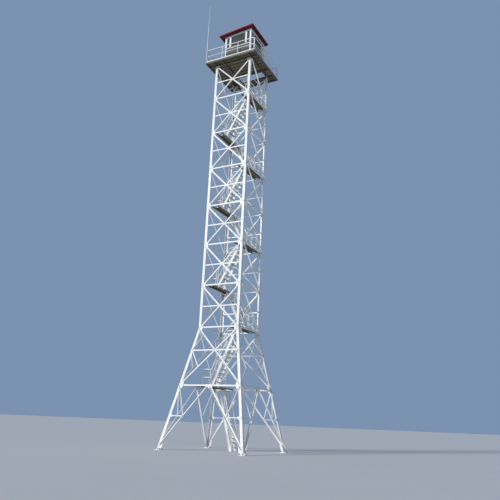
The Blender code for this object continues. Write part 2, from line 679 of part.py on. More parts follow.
def build_window_wall(wall, steel, glass, parent):
    """A wall with three windows over a panel, and one sheet of glass behind them."""
    cutter, pane = bmesh.new(), bmesh.new()
    left, right = wall.ends[0] + POST_WIDTH, wall.ends[1] - POST_WIDTH
    near_mullion, far_mullion = left + SIDE_PANE, right - SIDE_PANE
    bays = ((left, near_mullion), (near_mullion + MULLION_WIDTH, far_mullion - MULLION_WIDTH),
            (far_mullion, right))
    for bay in bays:
        add_block(cutter, wall, bay, (-LAP, WALL_THICKNESS + LAP), level(SILL_Z), below_roof(HEADER_HEIGHT))
    add_block(cutter, wall, (left, right), (-LAP, FRAME_PROUD),
              level(CABIN_FLOOR_Z + KICK_BAND), level(SILL_Z - SILL_BAND))
    finish_wall(wall, cutter, steel, parent)
    inside = WALL_THICKNESS + SEAT_GAP
    add_block(pane, wall, (left - GLASS_LAP, right + GLASS_LAP), (inside, inside + GLASS_THICKNESS),
              level(SILL_Z - GLASS_LAP), below_roof(HEADER_HEIGHT - GLASS_LAP))
    add_object("cabin_glass_" + wall.name, pane, glass, parent)


def build_door_wall(wall, steel, parent):
    """The wall toward the open deck, with the door between four panels."""
    cutter, leaf = bmesh.new(), bmesh.new()
    middle = (wall.ends[0] + wall.ends[1]) / 2
    near, far = middle - DOOR_WIDTH / 2, middle + DOOR_WIDTH / 2
    add_block(cutter, wall, (near, far), (-LAP, WALL_THICKNESS + LAP),
              level(CABIN_FLOOR_Z - LAP), level(DOOR_HEAD_Z))
    panels = ((wall.ends[0] + POST_WIDTH, near - MULLION_WIDTH), (far + MULLION_WIDTH, wall.ends[1] - POST_WIDTH))
    rows = ((CABIN_FLOOR_Z + KICK_BAND, SILL_Z - SILL_BAND), (SILL_Z, DOOR_HEAD_Z))
    for panel in panels:
        for foot, top in rows:
            add_block(cutter, wall, panel, (-LAP, FRAME_PROUD), level(foot), level(top))
    finish_wall(wall, cutter, steel, parent)
    depth = (WALL_THICKNESS - DOOR_THICKNESS) / 2
    add_block(leaf, wall, (near + SEAT_GAP, far - SEAT_GAP), (depth, depth + DOOR_THICKNESS),
              level(CABIN_FLOOR_Z), level(DOOR_HEAD_Z - SEAT_GAP))
    add_object("cabin_door", leaf, steel, parent)


def build_roof(red, parent):
    """The sloping roof, which overhangs the walls on all sides."""
    roof = bmesh.new()
    left, right = CABIN_LEFT - ROOF_OVERHANG_LEFT, CABIN_RIGHT + ROOF_OVERHANG_RIGHT
    near, far = CABIN_FRONT - ROOF_OVERHANG_FRONT, CABIN_BACK + ROOF_OVERHANG_BACK
    outline = [(left, near, roof_underside(left)), (right, near, roof_underside(right)),
               (right, near, roof_underside(right) + ROOF_THICKNESS), (left, near, roof_underside(left) + ROOF_THICKNESS)]
    extrude_outline(roof, outline, Vector((0, far - near, 0)))
    add_object("cabin_roof", roof, red, parent)


def build_cabin(steel, glass, red, parent):
    """Front and back walls from corner to corner, the side walls between them, and the roof."""
    wide = (CABIN_LEFT, CABIN_RIGHT)
    wall_depth = WALL_THICKNESS + SEAT_GAP
    between = (CABIN_FRONT + wall_depth, CABIN_BACK - wall_depth)
    build_window_wall(Wall("front", wide, CABIN_FRONT, 1, True), steel, glass, parent)
    build_window_wall(Wall("back", wide, CABIN_BACK, -1, True), steel, glass, parent)
    build_window_wall(Wall("right", between, CABIN_RIGHT, -1, False), steel, glass, parent)
    build_door_wall(Wall("left", between, CABIN_LEFT, 1, False), steel, parent)
    build_roof(red, parent)


def build_rod(material, parent):
    """The lightning rod, clamped to the railing at its front left corner."""
    x = -DECK_RAIL_REACH
    rail_y = -DECK_RAIL_EDGE - TUBE_RADIUS
    y = rail_y - ROD_CLEARANCE - ROD_RADIUS
    rod, clamps = bmesh.new(), bmesh.new()
    rings = []
    for height, radius in ((ROD_FOOT, ROD_RADIUS), (DECK_RAIL_HEIGHT, ROD_RADIUS), (ROD_HEIGHT, ROD_TIP_RADIUS)):
        rings.append([(x + radius * cos(2 * pi * step / TUBE_SIDES), y + radius * sin(2 * pi * step / TUBE_SIDES),
                       DECK_Z + height) for step in range(TUBE_SIDES)])
    add_loft(rod, rings)
    half = CLAMP_SIZE / 2
    for height in (DECK_MID_RAIL_HEIGHT - CLAMP_SIZE, DECK_RAIL_HEIGHT - BEND_RADIUS - CLAMP_SIZE):
        add_box(clamps, (x - half, y - half, DECK_Z + height - half),
                (x + half, rail_y - SEAT_GAP, DECK_Z + height + half))
    item = add_object("lightning_rod", rod, material, parent)
    add_boolean(item, add_helper("rod_clamps", clamps, parent), "UNION")


def main():
    clear_scene()
    tower = bpy.data.objects.new("tower", None)
    tower.location = (FOOT_HALF, FOOT_HALF, 0)
    bpy.context.scene.collection.objects.link(tower)
    white = make_material("white_painted_steel", (0.80, 0.80, 0.78), 0.45, 0)
    dark = make_material("grey_deck_plate", (0.09, 0.085, 0.075), 0.7, 0)
    glass = make_material("dark_window_glass", (0.03, 0.04, 0.045), 0.12, 0)
    red = make_material("red_roof_paint", (0.36, 0.02, 0.04), 0.5, 0)
    for name, side_x, side_y in (("front_left", -1, -1), ("front_right", 1, -1),
                                 ("back_right", 1, 1), ("back_left", -1, 1)):
        build_leg(name, side_x, side_y, white, tower)
    for name, outward in SIDES:
        build_shaft_bracing(Face(name, outward, False), white, tower)
        build_upper_base_bracing(Face(name, outward, True), white, tower)
        build_lower_base_bracing(Face(name, outward, True), white, tower)
    build_stair(white, tower)
    build_platform(white, dark, tower)
    build_deck_railing(white, tower)
    build_cabin(white, glass, red, tower)
    build_rod(white, tower)


main()
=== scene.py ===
# %% [markdown]
# # A steel lattice lookout tower
#
# The tower has four legs of angle steel with bolted bracing, a steep zigzag stair inside, and a railed
# platform with a small cabin on top.  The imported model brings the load-bearing pieces at their real
# size.  This script dresses them: bolts, round tubes, rolled channels, folded treads, sheet cladding,
# and a finish for every surface.  Everything is in metres, +Z up.

# %% Load the frame
import math

import bmesh
import bpy
import numpy as np
from mathutils import Matrix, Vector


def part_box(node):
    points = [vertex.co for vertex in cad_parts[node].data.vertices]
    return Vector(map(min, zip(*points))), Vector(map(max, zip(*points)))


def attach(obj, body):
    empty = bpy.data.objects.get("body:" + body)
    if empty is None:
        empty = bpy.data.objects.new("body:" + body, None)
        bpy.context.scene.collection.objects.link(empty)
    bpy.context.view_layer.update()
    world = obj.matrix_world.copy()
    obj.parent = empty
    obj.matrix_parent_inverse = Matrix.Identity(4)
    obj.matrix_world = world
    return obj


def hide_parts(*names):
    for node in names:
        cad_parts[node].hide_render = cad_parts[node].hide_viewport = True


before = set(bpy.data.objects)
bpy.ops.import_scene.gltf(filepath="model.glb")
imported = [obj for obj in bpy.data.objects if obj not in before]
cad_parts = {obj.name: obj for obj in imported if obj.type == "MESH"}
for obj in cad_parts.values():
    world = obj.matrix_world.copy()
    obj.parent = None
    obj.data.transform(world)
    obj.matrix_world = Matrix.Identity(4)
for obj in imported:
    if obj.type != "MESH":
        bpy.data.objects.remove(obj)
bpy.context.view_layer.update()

# %% [markdown]
# The camera, the floor and the light come first.  The photograph was taken from about 40 m away at eye
# height, looking up, with the horizon tilted a little, so the camera gets a look direction, an up
# direction and a lens that were measured from the legs.  White steel needs something darker behind it:
# a flat blue-grey backdrop that only the camera, gloss and glass see.  A soft sun from the front left
# gives the bright fronts and the cool shaded sides.

# %% Camera, floor and light
LEGS = ("leg_front_left", "leg_front_right", "leg_back_right", "leg_back_left")
CENTRE = np.mean([np.add(*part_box(name)) / 2 for name in LEGS], axis=0) * (1, 1, 0)
UP = np.array((0.0, 0.0, 1.0))
PHOTO_WIDTH = 500  # pixels
LENS_PIXELS = 563.7  # focal length of the photograph in its own pixels
SENSOR_MM = 36
EYE = CENTRE + (19.340, -34.499, 1.886)
LOOK = np.array((-0.44173, 0.84807, 0.29265))
CAMERA_UP = np.array((0.09828, -0.27850, 0.95540))
FLOOR_RADIUS = 600
FLOOR_SIDES = 96
SUN_FROM = np.array((-0.38, -0.86, 0.34))
SUN_DISTANCE = 60  # where the lamp stands, which changes nothing in a sun's light
SUN_STRENGTH = 2.35
SUN_SOFTNESS = math.radians(10)
AMBIENT_STRENGTH = 0.35


def srgb(code):
    """A hex colour as linear red, green, blue and one: each channel with the sRGB curve undone."""
    channels = np.array([int(code[at:at + 2], 16) for at in (1, 3, 5)]) / 255
    bent = ((channels + 0.055) / 1.055) ** 2.4
    return (*np.where(channels <= 0.04045, channels / 12.92, bent), 1)


def add_node(tree, kind, settings=None, links=None):
    """Adds a node, sets its properties or input values by name, and links sockets into it."""
    node = tree.nodes.new(kind)
    for name, value in (settings or {}).items():
        if isinstance(name, str) and hasattr(node, name):
            setattr(node, name, value)
        else:
            node.inputs[name].default_value = value
    for name, socket in (links or {}).items():
        tree.links.new(socket, node.inputs[name])
    return node


def unit(vectors):
    """Vectors divided by their own length."""
    vectors = np.asarray(vectors, float)
    return vectors / np.linalg.norm(vectors, axis=-1, keepdims=True)


def place_looking(item, at, along, up):
    """Puts an object at a point, its -Z along a direction and its Y as near up as it can be."""
    back = -unit(along)
    right = unit(np.cross(up, back))
    turn = np.eye(4)
    turn[:3, :3] = np.stack([right, np.cross(back, right), back], axis=1)
    turn[:3, 3] = at
    item.matrix_world = Matrix(turn.tolist())
    bpy.context.scene.collection.objects.link(item)


camera_data = bpy.data.cameras.new("camera")
camera_data.sensor_width = SENSOR_MM
camera_data.lens = LENS_PIXELS / PHOTO_WIDTH * SENSOR_MM
camera_data.clip_end = FLOOR_RADIUS * 4  # past the far rim of the floor
camera = bpy.data.objects.new("camera", camera_data)
place_looking(camera, EYE, LOOK, CAMERA_UP)
bpy.context.scene.camera = camera

sun_data = bpy.data.lights.new("soft_sun", "SUN")
sun_data.energy = SUN_STRENGTH
sun_data.angle = SUN_SOFTNESS
place_looking(bpy.data.objects.new("soft_sun", sun_data), CENTRE + SUN_FROM * SUN_DISTANCE, -SUN_FROM, UP)

world = bpy.data.worlds.new("studio")
world.use_nodes = True
tree = world.node_tree
tree.nodes.clear()
path = add_node(tree, "ShaderNodeLightPath")
seen = add_node(tree, "ShaderNodeMath", {"operation": "MAXIMUM"},
                {0: path.outputs["Is Camera Ray"], 1: path.outputs["Is Glossy Ray"]})
seen = add_node(tree, "ShaderNodeMath", {"operation": "MAXIMUM"},
                {0: seen.outputs[0], 1: path.outputs["Is Transmission Ray"]})
ambient = add_node(tree, "ShaderNodeBackground", {"Color": srgb("#C6D6F0"), "Strength": AMBIENT_STRENGTH})
backdrop = add_node(tree, "ShaderNodeBackground", {"Color": srgb("#7B92B0"), "Strength": 1})
both = add_node(tree, "ShaderNodeMixShader", None,
                {0: seen.outputs[0], 1: ambient.outputs[0], 2: backdrop.outputs[0]})
add_node(tree, "ShaderNodeOutputWorld", None, {"Surface": both.outputs[0]})
bpy.context.scene.world = world
bpy.context.scene.view_settings.view_transform = "Standard"

floor_turn = np.arange(FLOOR_SIDES) * 2 * np.pi / FLOOR_SIDES
floor_circle = np.stack([np.cos(floor_turn), np.sin(floor_turn), floor_turn * 0], axis=1)
floor_rim = CENTRE + floor_circle * FLOOR_RADIUS
floor_mesh = bpy.data.meshes.new("floor")
floor_mesh.from_pydata(floor_rim.tolist(), [], [list(range(len(floor_rim)))])
floor = bpy.data.objects.new("floor", floor_mesh)
bpy.context.scene.collection.objects.link(floor)
print("camera at", EYE.round(2), "with a lens of", round(camera_data.lens, 2), "mm")

# %% [markdown]
# Every finish reads Object coordinates, which are metres in the tower's own frame.  A finish is a clean
# colour with a few layers of blotches over it: wear, runs, rust.  Each layer is soft noise of a real
# size, stretched along one axis where it runs, and only its peaks show.

# %% What every finish is made of
SHEEN = dict(size_mm=150, low=0.3, high=0.7)  # where a surface is a little shinier or duller


def blotches(tree, size_mm, low, high, stretch=(1, 1, 1), detail=3.0):
    """A share from 0 to 1: soft noise of a real size, none below low and full above high."""
    place = add_node(tree, "ShaderNodeTexCoord")
    scaled = add_node(tree, "ShaderNodeMapping", {"Scale": stretch}, {"Vector": place.outputs["Object"]})
    field = add_node(tree, "ShaderNodeTexNoise", {"Scale": 1000 / size_mm, "Detail": detail},
                     {"Vector": scaled.outputs[0]})
    return add_node(tree, "ShaderNodeMapRange", {"From Min": low, "From Max": high},
                    {"Value": field.outputs["Fac"]}).outputs[0]


def finish(name, clean, layers, roughness, grain_mm, grain_depth_mm, **constants):
    """A Principled material: layers of (colour, strength, blotches) over a clean colour, and a fine grain."""
    material = bpy.data.materials.new(name)
    material.use_nodes = True
    tree = material.node_tree
    shader = tree.nodes["Principled BSDF"]
    shader.inputs["Base Color"].default_value = srgb(clean)
    colour = None
    for hue, strength, pattern in layers:
        share = add_node(tree, "ShaderNodeMath", {"operation": "MULTIPLY", 1: strength},
                         {0: blotches(tree, **pattern)})
        coat = add_node(tree, "ShaderNodeMix", {"data_type": "RGBA", 6: srgb(clean), 7: srgb(hue)},
                        {0: share.outputs[0]} if colour is None else {0: share.outputs[0], 6: colour})
        colour = coat.outputs[2]
        tree.links.new(colour, shader.inputs["Base Color"])
    worn = add_node(tree, "ShaderNodeMapRange", {"To Min": roughness[0], "To Max": roughness[1]},
                    {"Value": blotches(tree, **SHEEN)})
    tree.links.new(worn.outputs[0], shader.inputs["Roughness"])
    relief = add_node(tree, "ShaderNodeBump", {"Strength": 1, "Distance": grain_depth_mm / 1000},
                      {"Height": blotches(tree, grain_mm, 0, 1)})
    tree.links.new(relief.outputs[0], shader.inputs["Normal"])
    for socket, value in constants.items():
        shader.inputs[socket].default_value = value
    return material


# %% [markdown]
# The legs and the bracing are hot rolled angle under brushed alkyd paint: satin, a little uneven, with
# faint grey runs down from the joints and a few specks of rust.  The real specks and brush marks are
# millimetres wide and are drawn coarser here, so that they show.

# %% White paint on rolled steel
WEAR = dict(size_mm=700, low=0.45, high=0.70)
RUNS = dict(size_mm=50, low=0.58, high=0.82, stretch=(1, 1, 0.05), detail=2)
SPECKS = dict(size_mm=60, low=0.71, high=0.75, stretch=(1, 1, 0.6), detail=5)
white_paint = finish("brushed_white_alkyd_paint", "#F2F3F2",
                     [("#E4E5E3", 0.8, WEAR), ("#BABBB8", 0.40, RUNS), ("#8C6243", 0.6, SPECKS)],
                     (0.34, 0.55), 30, 0.15, IOR=1.5)
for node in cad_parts.values():
    node.material_slots[0].material = white_paint
print("white paint on", len(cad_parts), "packed nodes")

# %% [markdown]
# The platform's beams, the deck and the landings are plate and channel that only got a primer, and went
# olive-grey with brown patches where water stands.  Their grain is mill scale, deeper than brush marks.

# %% Primed plate, roof enamel, cladding, zinc, glass and floor
STAINS = dict(size_mm=420, low=0.50, high=0.68, detail=5)
SCALE = dict(size_mm=140, low=0.58, high=0.76, detail=4)
primed_plate = finish("weathered_primer_on_plate", "#827C66",
                      [("#806648", 0.75, STAINS), ("#524E43", 0.7, SCALE)], (0.55, 0.80), 10, 0.6)
# A second, darker batch of the same primer for the beams under the platform.
primed_beams = finish("weathered_primer_on_channel", "#6A6656",
                      [("#735D44", 0.7, STAINS), ("#46443B", 0.7, SCALE)], (0.50, 0.75), 10, 0.6)
# The treads were painted white with the stair and are trodden back to primer and rust in places.
trodden_paint = finish("trodden_white_paint_on_sheet", "#E0DFD9",
                       [("#9A8468", 0.8, STAINS), ("#8A857A", 0.5, SCALE)], (0.45, 0.70), 12, 0.5)
roof_enamel = finish("red_stoved_enamel_on_sheet", "#A5142D",
                     [("#931127", 0.8, WEAR), ("#7A1021", 0.5, RUNS), ("#54201C", 0.5, SPECKS)],
                     (0.50, 0.64), 25, 0.2, IOR=1.5, **{"Specular IOR Level": 0.3})
# The soffit is the roof's red darkened to maroon, a painted shade under the eaves, with real wear and scale
# over it.
soffit_red_with_painted_shade = finish("red_enamel_darkened_for_painted_shade", "#5E1C27",
                       [("#4E1720", 0.8, WEAR), ("#3C1218", 0.5, SCALE)], (0.45, 0.65), 25, 0.2, IOR=1.5)
cladding_coat = finish("grey_coil_coated_sheet", "#4C4F4F",
                       [("#434646", 0.8, WEAR), ("#383734", 0.5, RUNS)], (0.38, 0.55), 25, 0.2, IOR=1.5)
zinc = finish("hot_dip_galvanised_steel", "#B4B8BA",
              [("#8C9193", 0.7, dict(size_mm=12, low=0.4, high=0.6)), ("#8C6243", 0.4, SPECKS)],
              (0.38, 0.58), 7, 0.2, Metallic=0.6)
tinted_glass = finish("grey_tinted_float_glass", "#505753",
                      [("#454C49", 0.8, dict(size_mm=900, low=0.35, high=0.65))], (0.10, 0.11), 800, 0.1,
                      IOR=1.52, **{"Specular IOR Level": 0.35})
floor_coat = finish("pale_studio_floor", "#E4E6E8",
                    [("#E0E2E4", 0.6, dict(size_mm=4000, low=0.3, high=0.7))], (0.90, 0.95), 500, 0.2)
floor.data.materials.append(floor_coat)

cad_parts["platform_deck"].material_slots[0].material = primed_plate
for wall in ("front", "back", "right"):
    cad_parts[f"cabin_glass_{wall}"].material_slots[0].material = tinted_glass
print("finishes:", ", ".join(material.name for material in bpy.data.materials))

# %% [markdown]
# Shapes are worked out as whole arrays.  A shape here is a pair: points, and a list of face arrays in
# which each row is one face.  A few makers cover the tower: an outline pushed along a step, boxes, a
# turned shape, a round tube along a path with arcs at its corners, and copies of a shape.

# %% Makers of shapes
def grid_faces(rows, columns, closed=False):
    """Quads between neighbours on a grid whose columns close round; the rows close too if asked."""
    row, column = np.meshgrid(np.arange(rows if closed else rows - 1), np.arange(columns), indexing="ij")
    after, beside = (row + 1) % rows, (column + 1) % columns
    corners = (row * columns + column, row * columns + beside,
               after * columns + beside, after * columns + column)
    return np.stack(corners, axis=-1).reshape(-1, 4)


def end_faces(rows, columns):
    """One face over the first ring and one over the last."""
    return np.stack([np.arange(columns)[::-1], np.arange(columns) + (rows - 1) * columns])


def joined(*shapes):
    """One shape from several: points in a row, and each shape's faces counted on from the last."""
    starts = np.cumsum([0] + [len(points) for points, _ in shapes])
    faces = [array + start for (_, arrays), start in zip(shapes, starts) for array in arrays]
    return np.concatenate([points for points, _ in shapes]), faces


def copied(shape, places, turns=None):
    """The shape at each place, first turned by each matrix if there are any, as one shape."""
    points, arrays = shape
    places = np.asarray(places, float)
    if turns is None:
        turns = np.broadcast_to(np.eye(3), (len(places), 3, 3))
    starts = np.arange(len(places))[:, None, None] * len(points)
    faces = [(array[None] + starts).reshape(-1, array.shape[1]) for array in arrays]
    return (np.einsum("kij,nj->kni", turns, points) + places[:, None]).reshape(-1, 3), faces


def prism(outline, step):
    """The outline's points and the same points moved by the step, with a wall between them."""
    outline = np.asarray(outline, float)
    count = len(outline)
    return np.concatenate([outline, outline + step]), [grid_faces(2, count), end_faces(2, count)]


def boxes(lows, highs):
    """Boxes from their lowest and highest corners: each corner picks low or high on each axis."""
    lows, highs = np.atleast_2d(lows), np.atleast_2d(highs)
    pick = np.array([(x, y, z) for z in (0, 1) for x, y in ((0, 0), (1, 0), (1, 1), (0, 1))])
    points = lows[:, None] + (highs - lows)[:, None] * pick
    one = np.concatenate([grid_faces(2, 4), end_faces(2, 4)])
    starts = np.arange(len(lows))[:, None, None] * len(pick)
    return points.reshape(-1, 3), [(one[None] + starts).reshape(-1, 4)]


def turned(profile, sides):
    """A turned shape: each radius and height of the profile taken round the Z axis."""
    profile = np.asarray(profile, float)
    angle = np.arange(sides) * 2 * np.pi / sides
    around = profile[:, :1, None] * np.stack([np.cos(angle), np.sin(angle)])
    height = np.broadcast_to(profile[:, 1:, None], (len(profile), 1, sides))
    points = np.concatenate([around, height], axis=1).transpose(0, 2, 1).reshape(-1, 3)
    return points, [grid_faces(len(profile), sides), end_faces(len(profile), sides)]


ARC_STEPS = 5


def bent_path(corners, radius, closed=False):
    """The corners' path with an arc at each: the arc's start swung about the arc's middle."""
    corners = np.asarray(corners, float)
    inner = slice(None) if closed else slice(1, -1)
    toward = unit(corners - np.roll(corners, 1, 0))[inner]
    away = unit(np.roll(corners, -1, 0) - corners)[inner]
    turn = np.arccos((toward * away).sum(-1, keepdims=True))
    middle = corners[inner] + unit(away - toward) * radius / np.cos(turn / 2)
    out = corners[inner] - toward * radius * np.tan(turn / 2) - middle
    swing = (turn * np.linspace(0, 1, ARC_STEPS + 1))[..., None]
    arcs = middle[:, None] + out[:, None] * np.cos(swing) + toward[:, None] * radius * np.sin(swing)
    arcs = arcs.reshape(-1, 3)
    return arcs if closed else np.concatenate([corners[:1], arcs, corners[-1:]])


def tube(path, radius, normal, sides=12, closed=False):
    """A round bar: each path point pushed out by the radius at angles all round the path.

    The normal stands on the plane of the path, so each ring is spanned by the normal and by the
    path's direction there crossed with it.
    """
    path = np.asarray(path, float)
    ahead = unit(np.roll(path, -1, 0) - path)
    behind = np.roll(ahead, 1, 0)
    if not closed:
        ahead[-1], behind[0] = behind[-1], ahead[0]
    side = np.broadcast_to(unit(normal), path.shape)[:, None]
    angle = (np.arange(sides) * 2 * np.pi / sides)[:, None]
    ring = side * np.cos(angle) + np.cross(unit(ahead + behind)[:, None], side) * np.sin(angle)
    points = path[:, None] + ring * radius
    ends = [] if closed else [end_faces(len(path), sides)]
    return points.reshape(-1, 3), [grid_faces(len(path), sides, closed)] + ends


SHARP_ANGLE = math.radians(35)


def add_piece(name, shape, material, stands_for=(), smooth=False):
    """Makes the object with its place in its mesh, lets it ride on the tower, and gives it its material."""
    points, arrays = shape
    mesh = bpy.data.meshes.new(name)
    mesh.from_pydata(points.tolist(), [], [face for array in arrays for face in array.tolist()])
    solid = bmesh.new()
    solid.from_mesh(mesh)
    bmesh.ops.recalc_face_normals(solid, faces=solid.faces)
    solid.to_mesh(mesh)
    solid.free()
    if smooth:
        mesh.shade_smooth()
        mesh.set_sharp_from_angle(angle=SHARP_ANGLE)
    mesh.materials.append(material)
    piece = bpy.data.objects.new(name, mesh)
    bpy.context.scene.collection.objects.link(piece)
    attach(piece, "root")
    if stands_for:
        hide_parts(*stands_for)
    return sum(len(array) * (array.shape[1] - 2) for array in arrays)


# %% [markdown]
# Each side of the tower is a flat frame, so its bolts are laid out on paper first: a place across from
# the middle of the side, a height, and a layer out from the legs.  Below the kink the sides lean, and
# the same paper leans with them.  The legs carry a column of bolts at each plate, every diagonal and
# level bar ends in a row of bolts, and a nut sits behind each one.

# %% Bolts of the four sides
SIDES = {"front": (0, -1, 0), "right": (1, 0, 0), "back": (0, 1, 0), "left": (-1, 0, 0)}
SHAFT_HALF = 1.555  # from the tower's middle to the heels of the legs
BASE_HALF = 3.13
KINK_Z = 7.99
FIRST_BELT_Z = 4.10
PANEL_HEIGHT = 3.0
PANEL_COUNT = 7
SHAFT_TOP_Z = KINK_Z + PANEL_HEIGHT * PANEL_COUNT
FLANGE = 0.018  # thickness of the legs
BAR = 0.009  # thickness of the bracing
GUSSET = 0.010
OUTER_FACE = GUSSET + BAR  # outer side of the diagonals that lie on the plates
INNER_FACE = FLANGE + BAR  # inner side of the bars behind the flanges
GAUGE = 0.09  # from a leg's heel to the ends of the diagonals
HEEL_GAUGE = 0.05  # from a leg's heel to its own column of bolts
TIE_GAUGE = 0.145  # from a leg's heel to the bolt of the thin bar at a crossing
BELT_GAUGES = (0.16, 0.22)  # from a leg's heel to the two bolts of a level bar
BELT_LIFT = 0.03  # of the level bars' bolts over the joints of the panels
JOINT_GAP = 0.02  # from a joint of the panels to the ends of the diagonals
KINK_GAP = 0.017  # more than that over the kink
HEAD_GAP = 0.06  # from the platform, the kink or the first belt down to the ends
BASE_GAP = 0.107  # from the first belt up to the ends
CROSSING_REACH = 0.03  # from a crossing to its two bolts, across and up
PEAK_HALF = 0.10  # from the middle of a side to the upper end of a strut
FOOT_PLATE_Z = 0.32
TIE_Z = 2.12  # where the thin bars of the lowest bay meet the legs
TIE_PLATES_Z = (2.08, 2.16, 6.20, 6.28)
MIDDLE_PLATE_ACROSS = (-0.24, -0.12, 0.12, 0.24)
MIDDLE_PLATE_LIFT = 0.02
MIDDLE_PLATE_FACE = GUSSET + 0.002
ROW = np.array((0.03, 0.09, 0.15, 0.21))
COLUMN = np.array((0.05, 0.10, 0.15))
STAGGER = 0.022  # between the columns on the two flanges of a leg
BOLT = joined(turned([(0.020, 0), (0.020, 0.003)], 8),
              turned([(0.0165, 0.003), (0.0165, 0.012), (0.0140, 0.014)], 6))
NUT = joined(turned([(0.0165, 0), (0.0165, 0.014)], 6), turned([(0.010, 0.014), (0.010, 0.028)], 6))


def half_width(height):
    """Heel of the legs from the tower's middle: a straight batter up to the kink, then constant."""
    return BASE_HALF + (SHAFT_HALF - BASE_HALF) * np.minimum(np.asarray(height, float) / KINK_Z, 1)


def on_side(outward, places, layer):
    """Places across and up a side as points, and the side's normal at each of them."""
    outward = np.asarray(outward, float)
    across, height = np.asarray(places, float).T[:, :, None]
    lean = np.where(height < KINK_Z, (BASE_HALF - SHAFT_HALF) / KINK_Z, 0)
    normal = unit(outward + lean * UP)
    points = CENTRE + outward * half_width(height) + np.cross(UP, outward) * across + UP * height
    return points + normal * np.reshape(layer, (-1, 1)), normal


def bar_ends(start, end, distances):
    """Places at given distances from both ends of a bar, measured along it."""
    start, end = np.asarray(start, float), np.asarray(end, float)
    along = unit(end - start) * np.asarray(distances)[:, None]
    return np.concatenate([start + along, end - along])


def both_legs(heights, inset):
    """Places at a distance in from the heels of the left and of the right leg, at each height."""
    heights = np.asarray(heights, float)
    reach = half_width(heights) - inset
    return np.concatenate([np.stack([side * reach, heights], axis=1) for side in (-1, 1)])


panel_nodes = KINK_Z + PANEL_HEIGHT * np.arange(PANEL_COUNT + 1)
panels = [(low + JOINT_GAP, high - JOINT_GAP) for low, high in zip(panel_nodes, panel_nodes[1:])]
panels[0] = (panels[0][0] + KINK_GAP, panels[0][1])
panels[-1] = (panels[-1][0], SHAFT_TOP_Z - HEAD_GAP)
panels.append((FIRST_BELT_Z + BASE_GAP, KINK_Z - HEAD_GAP))
on_plates, behind, crossings = [], [], []
for low, high in panels:
    foot, top = half_width([low, high]) - GAUGE
    on_plates.append(bar_ends((-top, high), (foot, low), ROW))
    behind.append(bar_ends((top, high), (-foot, low), ROW[:3]))
    middle = high - (high - low) * top / (top + foot)
    crossings.append(np.array([(-CROSSING_REACH, middle + CROSSING_REACH),
                               (CROSSING_REACH, middle - CROSSING_REACH)]))
    behind.append(both_legs([middle], TIE_GAUGE))
strut_peak = np.array((PEAK_HALF, FIRST_BELT_Z - HEAD_GAP))
strut_foot = np.array((half_width(FOOT_PLATE_Z) - GAUGE, FOOT_PLATE_Z))
strut_rise = strut_peak[1] - strut_foot[1]
on_strut = strut_peak + (strut_foot - strut_peak) * (strut_peak[1] - TIE_Z) / strut_rise
for mirror in ((-1, 1), (1, 1)):
    on_plates.append(bar_ends(strut_peak * mirror, strut_foot * mirror, ROW))
    for height in (TIE_Z, FIRST_BELT_Z - HEAD_GAP):
        start = np.array((half_width(height) - GAUGE, height))
        on_plates.append(bar_ends(start * mirror, on_strut * mirror, ROW[:1]))
belts = np.append(panel_nodes[:-1] + BELT_LIFT, FIRST_BELT_Z)
behind += [both_legs(belts, gauge) for gauge in BELT_GAUGES]
whole_plates = np.concatenate([[FOOT_PLATE_Z, FIRST_BELT_Z], panel_nodes[:-1]])
columns = np.concatenate([(whole_plates[:, None] + np.append(-COLUMN, COLUMN)).ravel(),
                          SHAFT_TOP_Z - COLUMN, TIE_PLATES_Z])
middle_plate = np.array([(across, FIRST_BELT_Z + MIDDLE_PLATE_LIFT) for across in MIDDLE_PLATE_ACROSS])

total = 0
for turn, (side_name, outward) in enumerate(SIDES.items()):
    leg_columns = both_legs(columns + STAGGER * (turn % 2), HEEL_GAUGE)
    rows = [(np.concatenate(on_plates), OUTER_FACE, -FLANGE),
            (np.concatenate(crossings), OUTER_FACE, -INNER_FACE - BAR),
            (np.concatenate(behind), GUSSET, -INNER_FACE), (leg_columns, GUSSET, -FLANGE),
            (middle_plate, MIDDLE_PLATE_FACE, -INNER_FACE)]
    parts = []
    for places, head_layer, nut_layer in rows:
        for shape, layer, facing in ((BOLT, head_layer, 1), (NUT, nut_layer, -1)):
            points, normal = on_side(outward, places, layer)
            level = np.broadcast_to(np.cross(UP, outward), normal.shape)
            turns = np.stack([level, np.cross(normal * facing, level), normal * facing], axis=-1)
            parts.append(copied(shape, points, turns))
    total += add_piece(f"bolts_of_the_{side_name}_side", joined(*parts), zinc)
print("bolts and nuts:", total, "triangles")

# %% [markdown]
# Each foot stands on a base plate that is held by four anchor bolts, with a thick washer and a nut on
# each.  The stud is turned with a chamfered end.

# %% Anchor bolts
FOOT_HALF = 3.04
ANCHOR_SPACING = 0.155  # from the middle of a foot, both ways
BASE_PLATE = 0.03
STUD = joined(turned([(0.034, 0), (0.034, 0.006)], 12), turned([(0.027, 0.006), (0.027, 0.034)], 6),
              turned([(0.014, 0.034), (0.014, 0.078), (0.011, 0.083)], 10))
corners = np.array([(x, y, 0) for x in (-1, 1) for y in (-1, 1)])
feet = CENTRE + corners[:, None] * FOOT_HALF
anchors = (feet + corners * ANCHOR_SPACING + UP * BASE_PLATE).reshape(-1, 3)
print("anchor bolts:", add_piece("anchor_bolts", copied(STUD, anchors), zinc), "triangles")

# %% [markdown]
# A landing is a thin plate with cross bars on two rolled channels, a painted rim turned down all round,
# and a rail of bent round tube on three sides.  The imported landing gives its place: its lowest point is
# where the channels rest on the level bars, and its side edges are the plate's.

